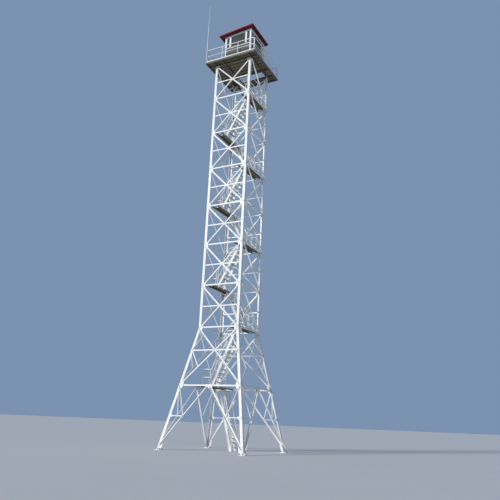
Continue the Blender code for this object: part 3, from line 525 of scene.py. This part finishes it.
# %% Landings
LANDING_COUNT = 8
TUBE_RADIUS = 0.032
POST_RADIUS = 0.025
BEND_RADIUS = 0.12
RAIL_HEIGHT = 1.06
MID_RAIL_HEIGHT = 0.52
RAIL_INSET = 0.085
CHANNEL_DEPTH = 0.10
CHANNEL_WIDTH = 0.05
FAR_CHANNEL_INSET = 0.19
LANDING_PLATE_DEPTH = 0.04
CROSS_BARS = 5
SHEET = 0.006
WELD_GAP = 0.001
WEB_SHARE = 0.08  # thickness of a channel's web and flanges over its depth
COLLAR_SHARE = 1.5  # radius of a post's weld over the post's
COLLAR_HEIGHT = 0.012
LANDING_FRONT, LANDING_BACK = CENTRE[1] - 0.90, CENTRE[1] + 1.41
LANDING_DEPTH = CHANNEL_DEPTH + LANDING_PLATE_DEPTH


def channel(start, end, across, width, depth):
    """A channel from point to point: a C outline across and up, pushed along the bar."""
    web = WEB_SHARE * depth
    outline = np.array([(0, 0), (width, 0), (width, web), (web, web), (web, depth - web),
                        (width, depth - web), (width, depth), (0, depth)])
    start = np.asarray(start, float)
    return prism(start + outline[:, :1] * np.asarray(across) + outline[:, 1:] * UP, np.asarray(end) - start)


def posts(places, foot, height):
    """Round posts, each with a small collar of weld at its foot: a turned shape at every place."""
    collar = POST_RADIUS * COLLAR_SHARE
    post = turned([(collar, 0), (POST_RADIUS, COLLAR_HEIGHT), (POST_RADIUS, height)], 12)
    return copied(post, np.column_stack([places, np.full(len(places), foot)]))


for number in range(1, LANDING_COUNT + 1):
    node = f"landing_{number}"
    low, high = np.array(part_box(node))
    side = 1 if number % 2 == 0 else -1
    top = low[2] + LANDING_DEPTH
    inner, outer = (low[0], high[0]) if side > 0 else (high[0], low[0])
    gap_x, rail_x = inner + side * RAIL_INSET, outer - side * RAIL_INSET
    front, back = LANDING_FRONT + RAIL_INSET, LANDING_BACK - RAIL_INSET
    route = np.array([(gap_x, front, top), (rail_x, front, top), (rail_x, back, top), (gap_x, back, top)])
    rails = [tube(bent_path(route + UP * height, BEND_RADIUS), TUBE_RADIUS, UP)
             for height in (MID_RAIL_HEIGHT, RAIL_HEIGHT)]
    bend_x = rail_x - side * BEND_RADIUS
    post_feet = np.array([(gap_x, front), (bend_x, front), (rail_x, (front + back) / 2),
                          (bend_x, back), (gap_x, back)])
    far_x = outer - side * (FAR_CHANNEL_INSET - CHANNEL_WIDTH)
    channels = [channel((x, low[1], low[2]), (x, high[1], low[2]), (way * side, 0, 0),
                        CHANNEL_WIDTH, CHANNEL_DEPTH) for x, way in ((inner, 1), (far_x, -1))]
    left, right = min(inner, outer), max(inner, outer)
    skirt, under = top - LANDING_PLATE_DEPTH + WELD_GAP, top - SHEET
    bars = np.linspace(LANDING_FRONT + SHEET, LANDING_BACK - 2 * SHEET, CROSS_BARS + 2)
    rim = boxes([(left, LANDING_FRONT, skirt), (left, LANDING_BACK - SHEET, skirt),
                 (left, LANDING_FRONT + SHEET, skirt), (right - SHEET, LANDING_FRONT + SHEET, skirt)],
                [(right, LANDING_FRONT + SHEET, under), (right, LANDING_BACK, under),
                 (left + SHEET, LANDING_BACK - SHEET, under), (right, LANDING_BACK - SHEET, under)])
    add_piece(f"{node}_tube_rails_and_rim", joined(*rails, posts(post_feet, top, RAIL_HEIGHT), rim),
              white_paint, [node], True)
    lows = [(left, LANDING_FRONT, under)] + [(left + SHEET, y, skirt) for y in bars[1:-1]]
    highs = [(right, LANDING_BACK, top)] + [(right - SHEET, y + SHEET, under) for y in bars[1:-1]]
    add_piece(f"{node}_plate_on_channels", joined(boxes(lows, highs), *channels), primed_plate)
print("landing plates from", round(LANDING_FRONT, 3), "to", round(LANDING_BACK, 3))

# %% [markdown]
# A flight has two channel stringers with their toes outward, folded treads on small angle cleats, and a
# tube handrail with a middle rail over each stringer.  The handrail starts level over the lower landing,
# follows the pitch, and turns level again to end on the stringer.  A stringer is one outline, down from
# its upper edge and across the flight, pushed along the pitch.  Its foot is cut level: each point that
# would hang below the cut slides up along the pitch until it lies on it.

# %% Flights
FIRST_RUN = 1.12
FLIGHT_WIDTH = 0.76
FRONT_ROW_GAP = 0.19  # from the landings' front edge to the flights of the front row
STRINGER_LEVEL_WIDTH = 0.21
STRINGER_TOES = 0.03
STRINGER_WEB = 0.008
RISER = 0.28
TREAD_DEPTH = 0.17
TREAD_INSET = 0.015
TREAD_LIP = 0.028
TREAD_SHEET = 0.004
CLEAT_LEG, CLEAT_SHEET = 0.035, 0.005
CLEAT_START = 0.03  # behind the tread's nose
CLEAT_SHORTER = 0.05  # than the tread is deep
HANDRAIL_REACH = 0.25
HANDRAIL_DROP = 0.27
HANDRAIL_LAP = 0.04
POST_SHARES = (0.03, 0.33)
LAST_POST_SHARE = 0.03  # back from where the handrail turns level


def stringer(foot, pitch, side, cut, edge):
    """A channel stringer on one edge of a flight: its outline pushed along the pitch, its foot cut level."""
    slope = pitch[2] / abs(pitch[0])
    deep, toe = slope * STRINGER_LEVEL_WIDTH, slope * STRINGER_WEB
    down = np.array((0, 0, toe, toe, deep - toe, deep - toe, deep, deep, max(cut, toe)))
    toes, web = STRINGER_TOES, STRINGER_WEB
    across = edge * (np.array((0, toes, toes, web, web, toes, toes, 0, 0)) - toes / 2)
    beyond = np.maximum(down - cut, 0) / slope
    start = foot + np.stack([side * beyond, across, slope * beyond - down], axis=1)
    end = foot + pitch + np.stack([0 * down, across, -down], axis=1)
    return np.concatenate([start, end]), [grid_faces(2, len(down)), end_faces(2, len(down))]


def tread(side):
    """A folded tread: a sheet with both long edges turned down, carried across the flight."""
    deep, lip, sheet, width = TREAD_DEPTH, TREAD_LIP, TREAD_SHEET, FLIGHT_WIDTH - STRINGER_TOES
    fold = np.array([(0, 0), (deep, 0), (deep, -lip), (deep - sheet, -lip), (deep - sheet, -sheet),
                     (sheet, -sheet), (sheet, -lip), (0, -lip)])
    return prism(np.stack([fold[:, 0] * side, np.full(8, -width / 2), fold[:, 1]], axis=1), (0, width, 0))


def cleats(side):
    """Two short angles that carry a tread's ends: an L outline pushed back along the tread."""
    leg, steel, width = CLEAT_LEG, CLEAT_SHEET, FLIGHT_WIDTH - STRINGER_TOES
    ell = np.array([(0, 0), (leg, 0), (leg, -steel), (steel, -steel), (steel, -leg), (0, -leg)])
    pair = []
    for edge in (-1, 1):
        outline = [(side * CLEAT_START, edge * (width / 2 - across), down - TREAD_SHEET)
                   for across, down in ell]
        pair.append(prism(outline, (side * (TREAD_DEPTH - CLEAT_SHORTER), 0, 0)))
    return joined(*pair)


landing_below = 0.0
for number in range(1, LANDING_COUNT + 2):
    node = f"stair_flight_{number}"
    low, high = np.array(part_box(node))
    side = 1 if number % 2 == 0 else -1
    if side < 0:
        row = LANDING_BACK - FLIGHT_WIDTH / 2
    else:
        row = LANDING_FRONT + FRONT_ROW_GAP + FLIGHT_WIDTH / 2
    if number > LANDING_COUNT:
        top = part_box("platform_deck")[1][2]
    else:
        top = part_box(f"landing_{number}")[0][2] + LANDING_DEPTH
    top_x = high[0] if side > 0 else low[0]
    foot_x = top_x - side * FIRST_RUN if number == 1 else 2 * CENTRE[0] - top_x
    foot = np.array((foot_x, row, landing_below))
    pitch = np.array((top_x - foot_x, 0, top - landing_below))
    cut = 0.0 if number == 1 else LANDING_DEPTH
    parts, start_level = [], np.array((side * HANDRAIL_REACH, 0, 0))
    for edge in (-1, 1):
        near = foot + (0, edge * FLIGHT_WIDTH / 2, 0)
        parts.append(stringer(near, pitch, side, cut, edge))
        over, turn_share = near + UP * RAIL_HEIGHT, 1 - (HANDRAIL_DROP + RAIL_HEIGHT) / pitch[2]
        bend = over + pitch * turn_share
        end = near + pitch * (1 - HANDRAIL_DROP / pitch[2]) + (side * HANDRAIL_LAP, 0, 0)
        handrail = bent_path([over - start_level, over, bend, end], BEND_RADIUS)
        parts.append(tube(handrail, TUBE_RADIUS, (0, 1, 0)))
        low_rail = near + UP * MID_RAIL_HEIGHT
        rail_end = low_rail + pitch * (1 - (HANDRAIL_DROP + MID_RAIL_HEIGHT) / pitch[2])
        parts.append(tube([low_rail + pitch * POST_SHARES[0], rail_end], POST_RADIUS, (0, 1, 0)))
        for share in POST_SHARES + (turn_share - LAST_POST_SHARE,):
            base = near + pitch * share
            parts.append(tube([base - UP * STRINGER_TOES, base + UP * RAIL_HEIGHT], POST_RADIUS, (0, 1, 0)))
    count = round(pitch[2] / RISER)
    noses = foot + pitch * (np.arange(1, count) / count)[:, None] + (side * TREAD_INSET, 0, 0)
    parts.append(copied(cleats(side), noses))
    add_piece(f"{node}_stringers_and_handrails", joined(*parts), white_paint, [node], True)
    add_piece(f"{node}_treads", copied(tread(side), noses), trodden_paint)
    landing_below = top
print("nine flights, the last up to", round(top, 3), "m")

# %% [markdown]
# The platform rests on a grid of beams: channels round the rim with their webs outward, I-beams over the
# legs and beside the stair hatch, and small joists under the deck.  All of it is one dark piece.  Beams
# that cross are set a hair apart in height, so that no two of their faces lie in one plane.

# %% Platform beams
BEAM_WIDTH = 0.08
BEAM_DEPTH = 0.1395
BEAM_FLANGE, BEAM_WEB = 0.010, 0.004
BEAM_END_GAP = 0.006  # from the outer side of the rim to the ends of the beams inside it
CROSSING_STEP = 0.0008
JOIST_SPACING = 0.36
JOIST_WIDTH, JOIST_DEPTH = 0.03, 0.05
JOIST_DROP = 0.055  # from the top of the beams to the foot of the joists
EDGE_STRIP = 0.003
HATCH_LEFT, HATCH_FRONT, HATCH_BACK = -0.75, 0.60, 1.475
beam_low, beam_high = np.array(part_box("platform_beams"))
platform_half = (beam_high[0] - beam_low[0]) / 2


def i_beam(start, end, across, step):
    """An I-beam from point to point: an I outline, less a step below and above, pushed along the bar."""
    half, flange, web = BEAM_WIDTH / 2, BEAM_FLANGE, BEAM_WEB
    right_half = np.array([(half, step), (half, flange + step), (web, flange + step),
                           (web, BEAM_DEPTH - flange - step), (half, BEAM_DEPTH - flange - step),
                           (half, BEAM_DEPTH - step)])
    outline = np.concatenate([right_half, (right_half * (-1, 1))[::-1]])
    start = np.asarray(start, float)
    return prism(start + outline[:, :1] * np.asarray(across) + outline[:, 1:] * UP, np.asarray(end) - start)


base = CENTRE + UP * beam_low[2]
reach = platform_half - BEAM_END_GAP
grid = []
for outward in SIDES.values():
    outward = np.array(outward, float)
    step = 0 if outward[1] else CROSSING_STEP
    along = np.cross(UP, outward) * (platform_half if outward[1] else reach)
    corner = base + outward * platform_half + UP * step
    grid.append(channel(corner - along, corner + along, -outward, BEAM_WIDTH, BEAM_DEPTH - 2 * step))
over_legs = SHAFT_HALF - BEAM_WIDTH / 2
for at in (-over_legs, HATCH_LEFT - BEAM_WIDTH / 2, over_legs):
    grid.append(i_beam(base + (at, -reach, 0), base + (at, reach, 0), (1, 0, 0), 2 * CROSSING_STEP))
for at in (-over_legs, HATCH_FRONT - BEAM_WIDTH / 2, over_legs):
    grid.append(i_beam(base + (-reach, at, 0), base + (reach, at, 0), (0, 1, 0), 3 * CROSSING_STEP))
joist_y = np.arange(-reach + JOIST_SPACING, reach, JOIST_SPACING)
for y in joist_y:
    stop = HATCH_LEFT if HATCH_FRONT < y < HATCH_BACK else reach
    start = base + (-reach, y, BEAM_DEPTH - JOIST_DROP)
    grid.append(channel(start, start + (stop + reach, 0, 0), (0, 1, 0), JOIST_WIDTH, JOIST_DEPTH))
add_piece("platform_channels_and_joists", joined(*grid), primed_beams, ["platform_beams"])
# A painted edge strip closes the deck's edge all round.
(x0, y0, z0), (x1, y1, z1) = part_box("platform_deck")
strip = EDGE_STRIP
edges = boxes([(x0 - strip, y0 - strip, z0), (x0 - strip, y1, z0), (x0 - strip, y0, z0), (x1, y0, z0)],
              [(x1 + strip, y0, z1), (x1 + strip, y1 + strip, z1), (x0, y1, z1), (x1 + strip, y1, z1)])
add_piece("deck_edge_strip", edges, white_paint)
print("platform beams from", beam_low.round(3), "with", len(joist_y), "joists")

# %% [markdown]
# The railing is a closed loop of bent tube on each side of the platform, with a middle rail and thin
# posts.  The lightning rod is a tapered tube with a thicker joint, strapped to the front left corner.

# %% Railing and lightning rod
DECK_RAIL_HEIGHT = 1.07
DECK_MID_RAIL_HEIGHT = 0.50
DECK_POST_SHARES = (-0.34, 0.32)
DECK_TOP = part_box("platform_deck")[1][2]
RAIL_EDGE_INSET = 0.05  # from the platform's edge to the middle of the railing's tubes
CORNER_SHARE = 0.8  # of the tube's radius, by which a loop stops short of the corner
DECK_MID_RAIL_LIFT = 0.47  # of the middle rail over the foot rail
TOUCH = 0.0003  # between pieces that touch
rail_edge = platform_half - RAIL_EDGE_INSET
rail_reach = rail_edge - CORNER_SHARE * TUBE_RADIUS
foot_rail, top_rail = UP * TUBE_RADIUS, UP * DECK_RAIL_HEIGHT
parts = []
for outward in SIDES.values():
    middle = CENTRE + np.array(outward) * rail_edge + UP * (DECK_TOP + TOUCH)
    across = np.cross(UP, outward) * rail_reach
    loop = [middle - across + foot_rail, middle + across + foot_rail,
            middle + across + top_rail, middle - across + top_rail]
    parts.append(tube(bent_path(loop, BEND_RADIUS, closed=True), TUBE_RADIUS, outward, closed=True))
    parts.append(tube([corner + UP * DECK_MID_RAIL_LIFT for corner in loop[:2]], POST_RADIUS, outward))
    for share in DECK_POST_SHARES:
        post = middle + across * share
        parts.append(tube([post + foot_rail, post + top_rail], POST_RADIUS, outward))
add_piece("platform_tube_railing", joined(*parts), white_paint, ["platform_railing"], True)

rod_low, rod_high = np.array(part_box("lightning_rod"))
ROD_RADIUS = 0.030
SLEEVE_HEIGHT = 3.1  # of the thicker joint over the deck
STRAP_HALF, STRAP_BACK = 0.037, 0.085
STRAP_BEND, STRAP_RADIUS = 0.03, 0.006
STRAP_DROP = 0.08  # below the rail, or below its bend
STRAP_LIFTS = (-0.025, 0.025)
BLOCK_HALF, BLOCK_FRONT, BLOCK_RISE = 0.032, 0.02, 0.04
rail_face = CENTRE[1] - rail_edge - TUBE_RADIUS
rod_at = np.array(((rod_low[0] + rod_high[0]) / 2, rod_low[1] + ROD_RADIUS, 0))
sleeve = DECK_TOP + SLEEVE_HEIGHT
rod_profile = [(ROD_RADIUS, rod_low[2]), (ROD_RADIUS, DECK_TOP + DECK_RAIL_HEIGHT), (0.0225, sleeve),
               (0.029, sleeve + 0.004), (0.029, sleeve + 0.11), (0.021, sleeve + 0.12),
               (0.013, rod_high[2] - 0.12), (0.002, rod_high[2])]
parts = [copied(turned(rod_profile, 16), [rod_at])]
strap_corners = np.array([(-STRAP_HALF, -STRAP_HALF), (STRAP_HALF, -STRAP_HALF),
                          (STRAP_HALF, STRAP_BACK), (-STRAP_HALF, STRAP_BACK)])
for height in (DECK_MID_RAIL_HEIGHT - STRAP_DROP, DECK_RAIL_HEIGHT - BEND_RADIUS - STRAP_DROP):
    z = DECK_TOP + height
    for lift in STRAP_LIFTS:
        strap = np.column_stack([rod_at[:2] + strap_corners, np.full(4, z + lift)])
        parts.append(tube(bent_path(strap, STRAP_BEND, closed=True), STRAP_RADIUS, UP, 8, True))
    parts.append(boxes(rod_at + (-BLOCK_HALF, BLOCK_FRONT, z - BLOCK_RISE),
                       (rod_at[0] + BLOCK_HALF, rail_face - TOUCH, z + BLOCK_RISE)))
add_piece("tapered_lightning_rod", joined(*parts), white_paint, ["lightning_rod"], True)
print("railing at", round(DECK_TOP + DECK_RAIL_HEIGHT, 3), "m, rod up to", round(rod_high[2], 3), "m")

# %% [markdown]
# The cabin's packed walls are posts and bands with shallow fields between them.  Ribbed grey sheet fills
# the fields, white sashes sit in the windows, and a drip sill runs under them.  A wall has its own paper:
# a place along it, a depth in from its outer side, and a height.  Window heads follow the roof's slope.

# %% Cabin cladding, sashes and sills
POST, KICK_BAND, SILL_BAND, HEADER, RECESS = 0.12, 0.06, 0.10, 0.12, 0.02
SIDE_PANE, MULLION, SILL_Z = 0.28, 0.10, DECK_TOP + 1.0
FOOT_GAP = 0.001  # under a ribbed sheet
RIB_PITCH, VALLEY, CREST = 0.115, 0.014, 0.008
RIB = np.array([(0.10, VALLEY), (0.25, CREST), (0.55, CREST), (0.70, VALLEY)])  # share of a rib, depth
SASH_WIDTH, SASH_DEPTHS = 0.028, (0.018, 0.052)
SILL_LAP, SILL_REACH, LIP_BACK = 0.03, 0.022, 0.018
SILL_DROPS = (0.004, 0.022, 0.034)  # of the sill's top, its foot and its lip's foot below the windows
BESIDE_DOOR = 0.5  # from the middle of the door to the sheets beside it
DOOR_HEAD_Z = SILL_Z + 0.90
wall_low, wall_high = np.array(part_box("cabin_wall_front"))
back_high = np.array(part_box("cabin_wall_back")[1])
side_low, side_high = np.array(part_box("cabin_wall_right"))
EAVE_Z = DOOR_HEAD_Z + HEADER
ROOF_SLOPE = (wall_high[2] - EAVE_Z) / (wall_high[0] - wall_low[0])
# Of each wall: its start, its end, its outer side, the way in from there, and whether it follows X.
WALLS = {"front": (wall_low[0], wall_high[0], wall_low[1], 1, True),
         "back": (wall_low[0], wall_high[0], back_high[1], -1, True),
         "right": (side_low[1], side_high[1], side_high[0], -1, False),
         "left": (side_low[1], side_high[1], wall_low[0], 1, False)}


def on_wall(wall, along, depth, height):
    """Places along a wall, in from its outer side and up, as points."""
    _, _, outer, inward, follows_x = WALLS[wall]
    across = outer + inward * np.asarray(depth, float)
    along, across, height = np.broadcast_arrays(np.asarray(along, float), across, height)
    return np.stack([along, across, height] if follows_x else [across, along, height], axis=-1)


def ribbed_sheet(wall, start, end, foot, top):
    """Ribbed sheet in a field: a row of trapezoid ribs along the wall, with a flat back, pushed up."""
    start, end, foot, top = start + TOUCH, end - TOUCH, foot + FOOT_GAP, top - TOUCH
    count, back = max(round((end - start) / RIB_PITCH), 2), RECESS - TOUCH
    share = (np.arange(count)[:, None] + RIB[:, 0]).ravel() / count
    along = start + (end - start) * np.concatenate([[0], share, [1, 1, 0]])
    depth = np.concatenate([[VALLEY], np.tile(RIB[:, 1], count), [VALLEY, back, back]])
    return prism(on_wall(wall, along, depth, foot), (0, 0, top - foot))


def sash(wall, start, end, foot, drop, width, depths):
    """A frame in an opening: an outer and an inner four-sided ring, pushed into the wall.

    The head stays a drop below the roof, whose height at a place is the eave's plus slope times distance.
    """
    rings = []
    for inset in (0, width):
        along = np.array((start + inset, end - inset, end - inset, start + inset))
        x = on_wall(wall, along, 0, 0)[:, 0]
        roof = EAVE_Z + ROOF_SLOPE * (x - wall_low[0])
        height = np.where(np.arange(4) < 2, foot + inset, roof - drop - inset)
        rings.append((along, height))
    layers = [on_wall(wall, along, depth, height) for depth in depths for along, height in rings]
    step, after = np.arange(4), (np.arange(4) + 1) % 4
    loops = ((0, 1), (2, 3), (0, 2), (1, 3))
    faces = [np.stack([a * 4 + step, a * 4 + after, b * 4 + after, b * 4 + step], axis=1) for a, b in loops]
    return np.concatenate(layers), [np.concatenate(faces)]


def wall_boxes(wall, blocks):
    """Boxes on a wall, each from (start, end, first depth, last depth, foot, top)."""
    blocks = np.asarray(blocks, float)
    ends = on_wall(wall, blocks[:, :2], blocks[:, 2:4], blocks[:, 4:6])
    return boxes(ends.min(axis=1), ends.max(axis=1))


sheets, frames = [], []
sill_top, sill_foot, lip_foot = SILL_Z - np.array(SILL_DROPS)
for wall in ("front", "back", "right"):
    start, end = WALLS[wall][0] + POST, WALLS[wall][1] - POST
    sheets.append(ribbed_sheet(wall, start, end, DECK_TOP + KICK_BAND, SILL_Z - SILL_BAND))
    near, far = start + SIDE_PANE, end - SIDE_PANE
    for left, right in ((start, near), (near + MULLION, far - MULLION), (far, end)):
        frames.append(sash(wall, left + TOUCH, right - TOUCH, SILL_Z + TOUCH, HEADER + TOUCH,
                           SASH_WIDTH, SASH_DEPTHS))
    sill = (start - SILL_LAP, end + SILL_LAP, -SILL_REACH)
    frames.append(wall_boxes(wall, [(*sill, 0.0, sill_foot, sill_top),
                                    (*sill, -LIP_BACK, lip_foot, sill_foot)]))
door_middle = (WALLS["left"][0] + WALLS["left"][1]) / 2
for start, end in ((WALLS["left"][0] + POST, door_middle - BESIDE_DOOR),
                   (door_middle + BESIDE_DOOR, WALLS["left"][1] - POST)):
    for foot, top in ((DECK_TOP + KICK_BAND, SILL_Z - SILL_BAND), (SILL_Z, DOOR_HEAD_Z)):
        sheets.append(ribbed_sheet("left", start, end, foot, top))
add_piece("cabin_ribbed_cladding", joined(*sheets), cladding_coat)
add_piece("cabin_window_sashes", joined(*frames), white_paint)
print("roof slope", round(ROOF_SLOPE, 4), "eave at", round(EAVE_Z, 3))

# %% [markdown]
# The door is a folded steel leaf, a little back in the wall.  Two pressed fields, three hinges, a lever on
# a lock plate and a kick plate sit on its outer side, and only the lever and the hinges stand out.

# %% Door furniture
DOOR_FACE = 0.0125  # depth of the leaf's outer side in the wall
DOOR_HALF = 0.40
FIELD_INSET, FIELD_EDGE, FIELD_HEIGHTS = 0.10, 0.018, ((0.20, 0.85), (1.00, 1.75))
FIELD_RISE, FIELD_BED, PLATE_BED = 0.005, 0.002, 0.001  # out from the leaf, and into it
KICK_INSET, KICK_RISE, KICK_FOOT, KICK_TOP = 0.06, 0.002, 0.03, 0.14
LOCK_FAR, LOCK_NEAR, LOCK_RISE, LOCK_FOOT, LOCK_TOP = 0.075, 0.035, 0.004, 0.93, 1.12
LEVER_START, LEVER_END, LEVER_OUT, LEVER_HEIGHT = 0.055, 0.17, 0.035, 1.04
LEVER_BEND, LEVER_RADIUS = 0.018, 0.009
HINGE_RADIUS, HINGE_LENGTH, HINGE_DEPTH = 0.009, 0.10, 0.004
HINGE_HEIGHTS = np.array((0.20, 0.92, 1.62))
left_edge, right_edge = door_middle - DOOR_HALF, door_middle + DOOR_HALF
field_depths = (DOOR_FACE - FIELD_RISE, DOOR_FACE + FIELD_BED)
pressed = [sash("left", left_edge + FIELD_INSET, right_edge - FIELD_INSET, DECK_TOP + foot,
                EAVE_Z - (DECK_TOP + top), FIELD_EDGE, field_depths) for foot, top in FIELD_HEIGHTS]
add_piece("door_pressed_fields", joined(*pressed), white_paint)
plates = [(left_edge + KICK_INSET, right_edge - KICK_INSET, DOOR_FACE - KICK_RISE, DOOR_FACE + PLATE_BED,
           DECK_TOP + KICK_FOOT, DECK_TOP + KICK_TOP),
          (right_edge - LOCK_FAR, right_edge - LOCK_NEAR, DOOR_FACE - LOCK_RISE, DOOR_FACE + PLATE_BED,
           DECK_TOP + LOCK_FOOT, DECK_TOP + LOCK_TOP)]
lever_along = (right_edge - LEVER_START, right_edge - LEVER_START, right_edge - LEVER_END)
lever_at = on_wall("left", lever_along, (DOOR_FACE, -LEVER_OUT, -LEVER_OUT), DECK_TOP + LEVER_HEIGHT)
lever = tube(bent_path(lever_at, LEVER_BEND), LEVER_RADIUS, UP, 10)
hinge = turned([(HINGE_RADIUS, 0), (HINGE_RADIUS, HINGE_LENGTH)], 10)
hinges = copied(hinge, on_wall("left", left_edge, HINGE_DEPTH, DECK_TOP + HINGE_HEIGHTS))
add_piece("door_handle_hinges_and_kick_plate", joined(wall_boxes("left", plates), lever, hinges),
          zinc, (), True)
print("door", round(right_edge - left_edge, 2), "m wide")

# %% [markdown]
# The roof is ribbed steel sheet with a folded fascia round it, over a flat soffit sheet whose rafters show
# from below; the soffit's darker red is painted shade.  All of it is drawn level and then sheared up the
# slope: height plus slope times distance.

# %% Roof
roof_low, roof_high = np.array(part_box("cabin_roof"))
FASCIA, FOLD, LIP = 0.078, 0.006, 0.05
ROOF_RIBS = 12
ROOF_RIB = np.array([(0.30, 0), (0.38, 0.020), (0.62, 0.020), (0.70, 0)])  # share of a rib, height
ROOF_SHEET, SHEET_LIFT = 0.004, 0.0695
RAFTER_FOOT, SOFFIT_FOOT, SOFFIT_TOP = 0.0005, 0.032, 0.040
RAFTERS, RAFTER_WIDTH, FIRST_RAFTER, LAST_RAFTER = 6, 0.04, 0.08, 0.12
under = roof_low[2]


def up_the_slope(shape):
    """The shape sheared so that it rises with the roof."""
    points, faces = shape
    return points + UP * (ROOF_SLOPE * (points[:, :1] - roof_low[0])), faces


(x0, y0), (x1, y1) = roof_low[:2], roof_high[:2]
roof_pitch = (y1 - y0) / ROOF_RIBS
ribs = (np.arange(ROOF_RIBS)[:, None] + ROOF_RIB[:, 0]).ravel() * roof_pitch + y0
ridge = np.concatenate([[y0], ribs, [y1]])
crest = np.concatenate([[0], np.tile(ROOF_RIB[:, 1], ROOF_RIBS), [0]]) + under + SHEET_LIFT
outline_y = np.concatenate([ridge, ridge[::-1]])
outline_z = np.concatenate([crest, crest[::-1] - ROOF_SHEET])
sheet = prism(np.column_stack([np.full(len(outline_y), x0), outline_y, outline_z]), (x1 - x0, 0, 0))
crown = under + FASCIA
fascia = boxes([(x0, y0, under), (x0, y1 - FOLD, under),
                (x0, y0 + FOLD, under), (x1 - FOLD, y0 + FOLD, under)],
               [(x1, y0 + FOLD, crown), (x1, y1, crown),
                (x0 + FOLD, y1 - FOLD, crown), (x1, y1 - FOLD, crown)])
lip = boxes([(x0, y0 + FOLD, under), (x0, y1 - LIP, under)],
            [(x1, y0 + LIP, under + FOLD), (x1, y1 - FOLD, under + FOLD)])
add_piece("ribbed_roof_sheet_and_fascia", up_the_slope(joined(sheet, fascia, lip)),
          roof_enamel, ["cabin_roof"])
rafters = np.linspace(y0 + FIRST_RAFTER, y1 - LAST_RAFTER, RAFTERS)
foot, top = under + SOFFIT_FOOT, under + SOFFIT_TOP
soffit = boxes([(x0 + FOLD, y0 + FOLD, foot)] + [(x0 + FOLD, y, under + RAFTER_FOOT) for y in rafters],
               [(x1 - FOLD, y1 - FOLD, top)] + [(x1 - FOLD, y + RAFTER_WIDTH, foot) for y in rafters])
add_piece("roof_soffit_and_rafters", up_the_slope(soffit), soffit_red_with_painted_shade)
print("roof from", roof_low.round(3), "to", roof_high.round(3))
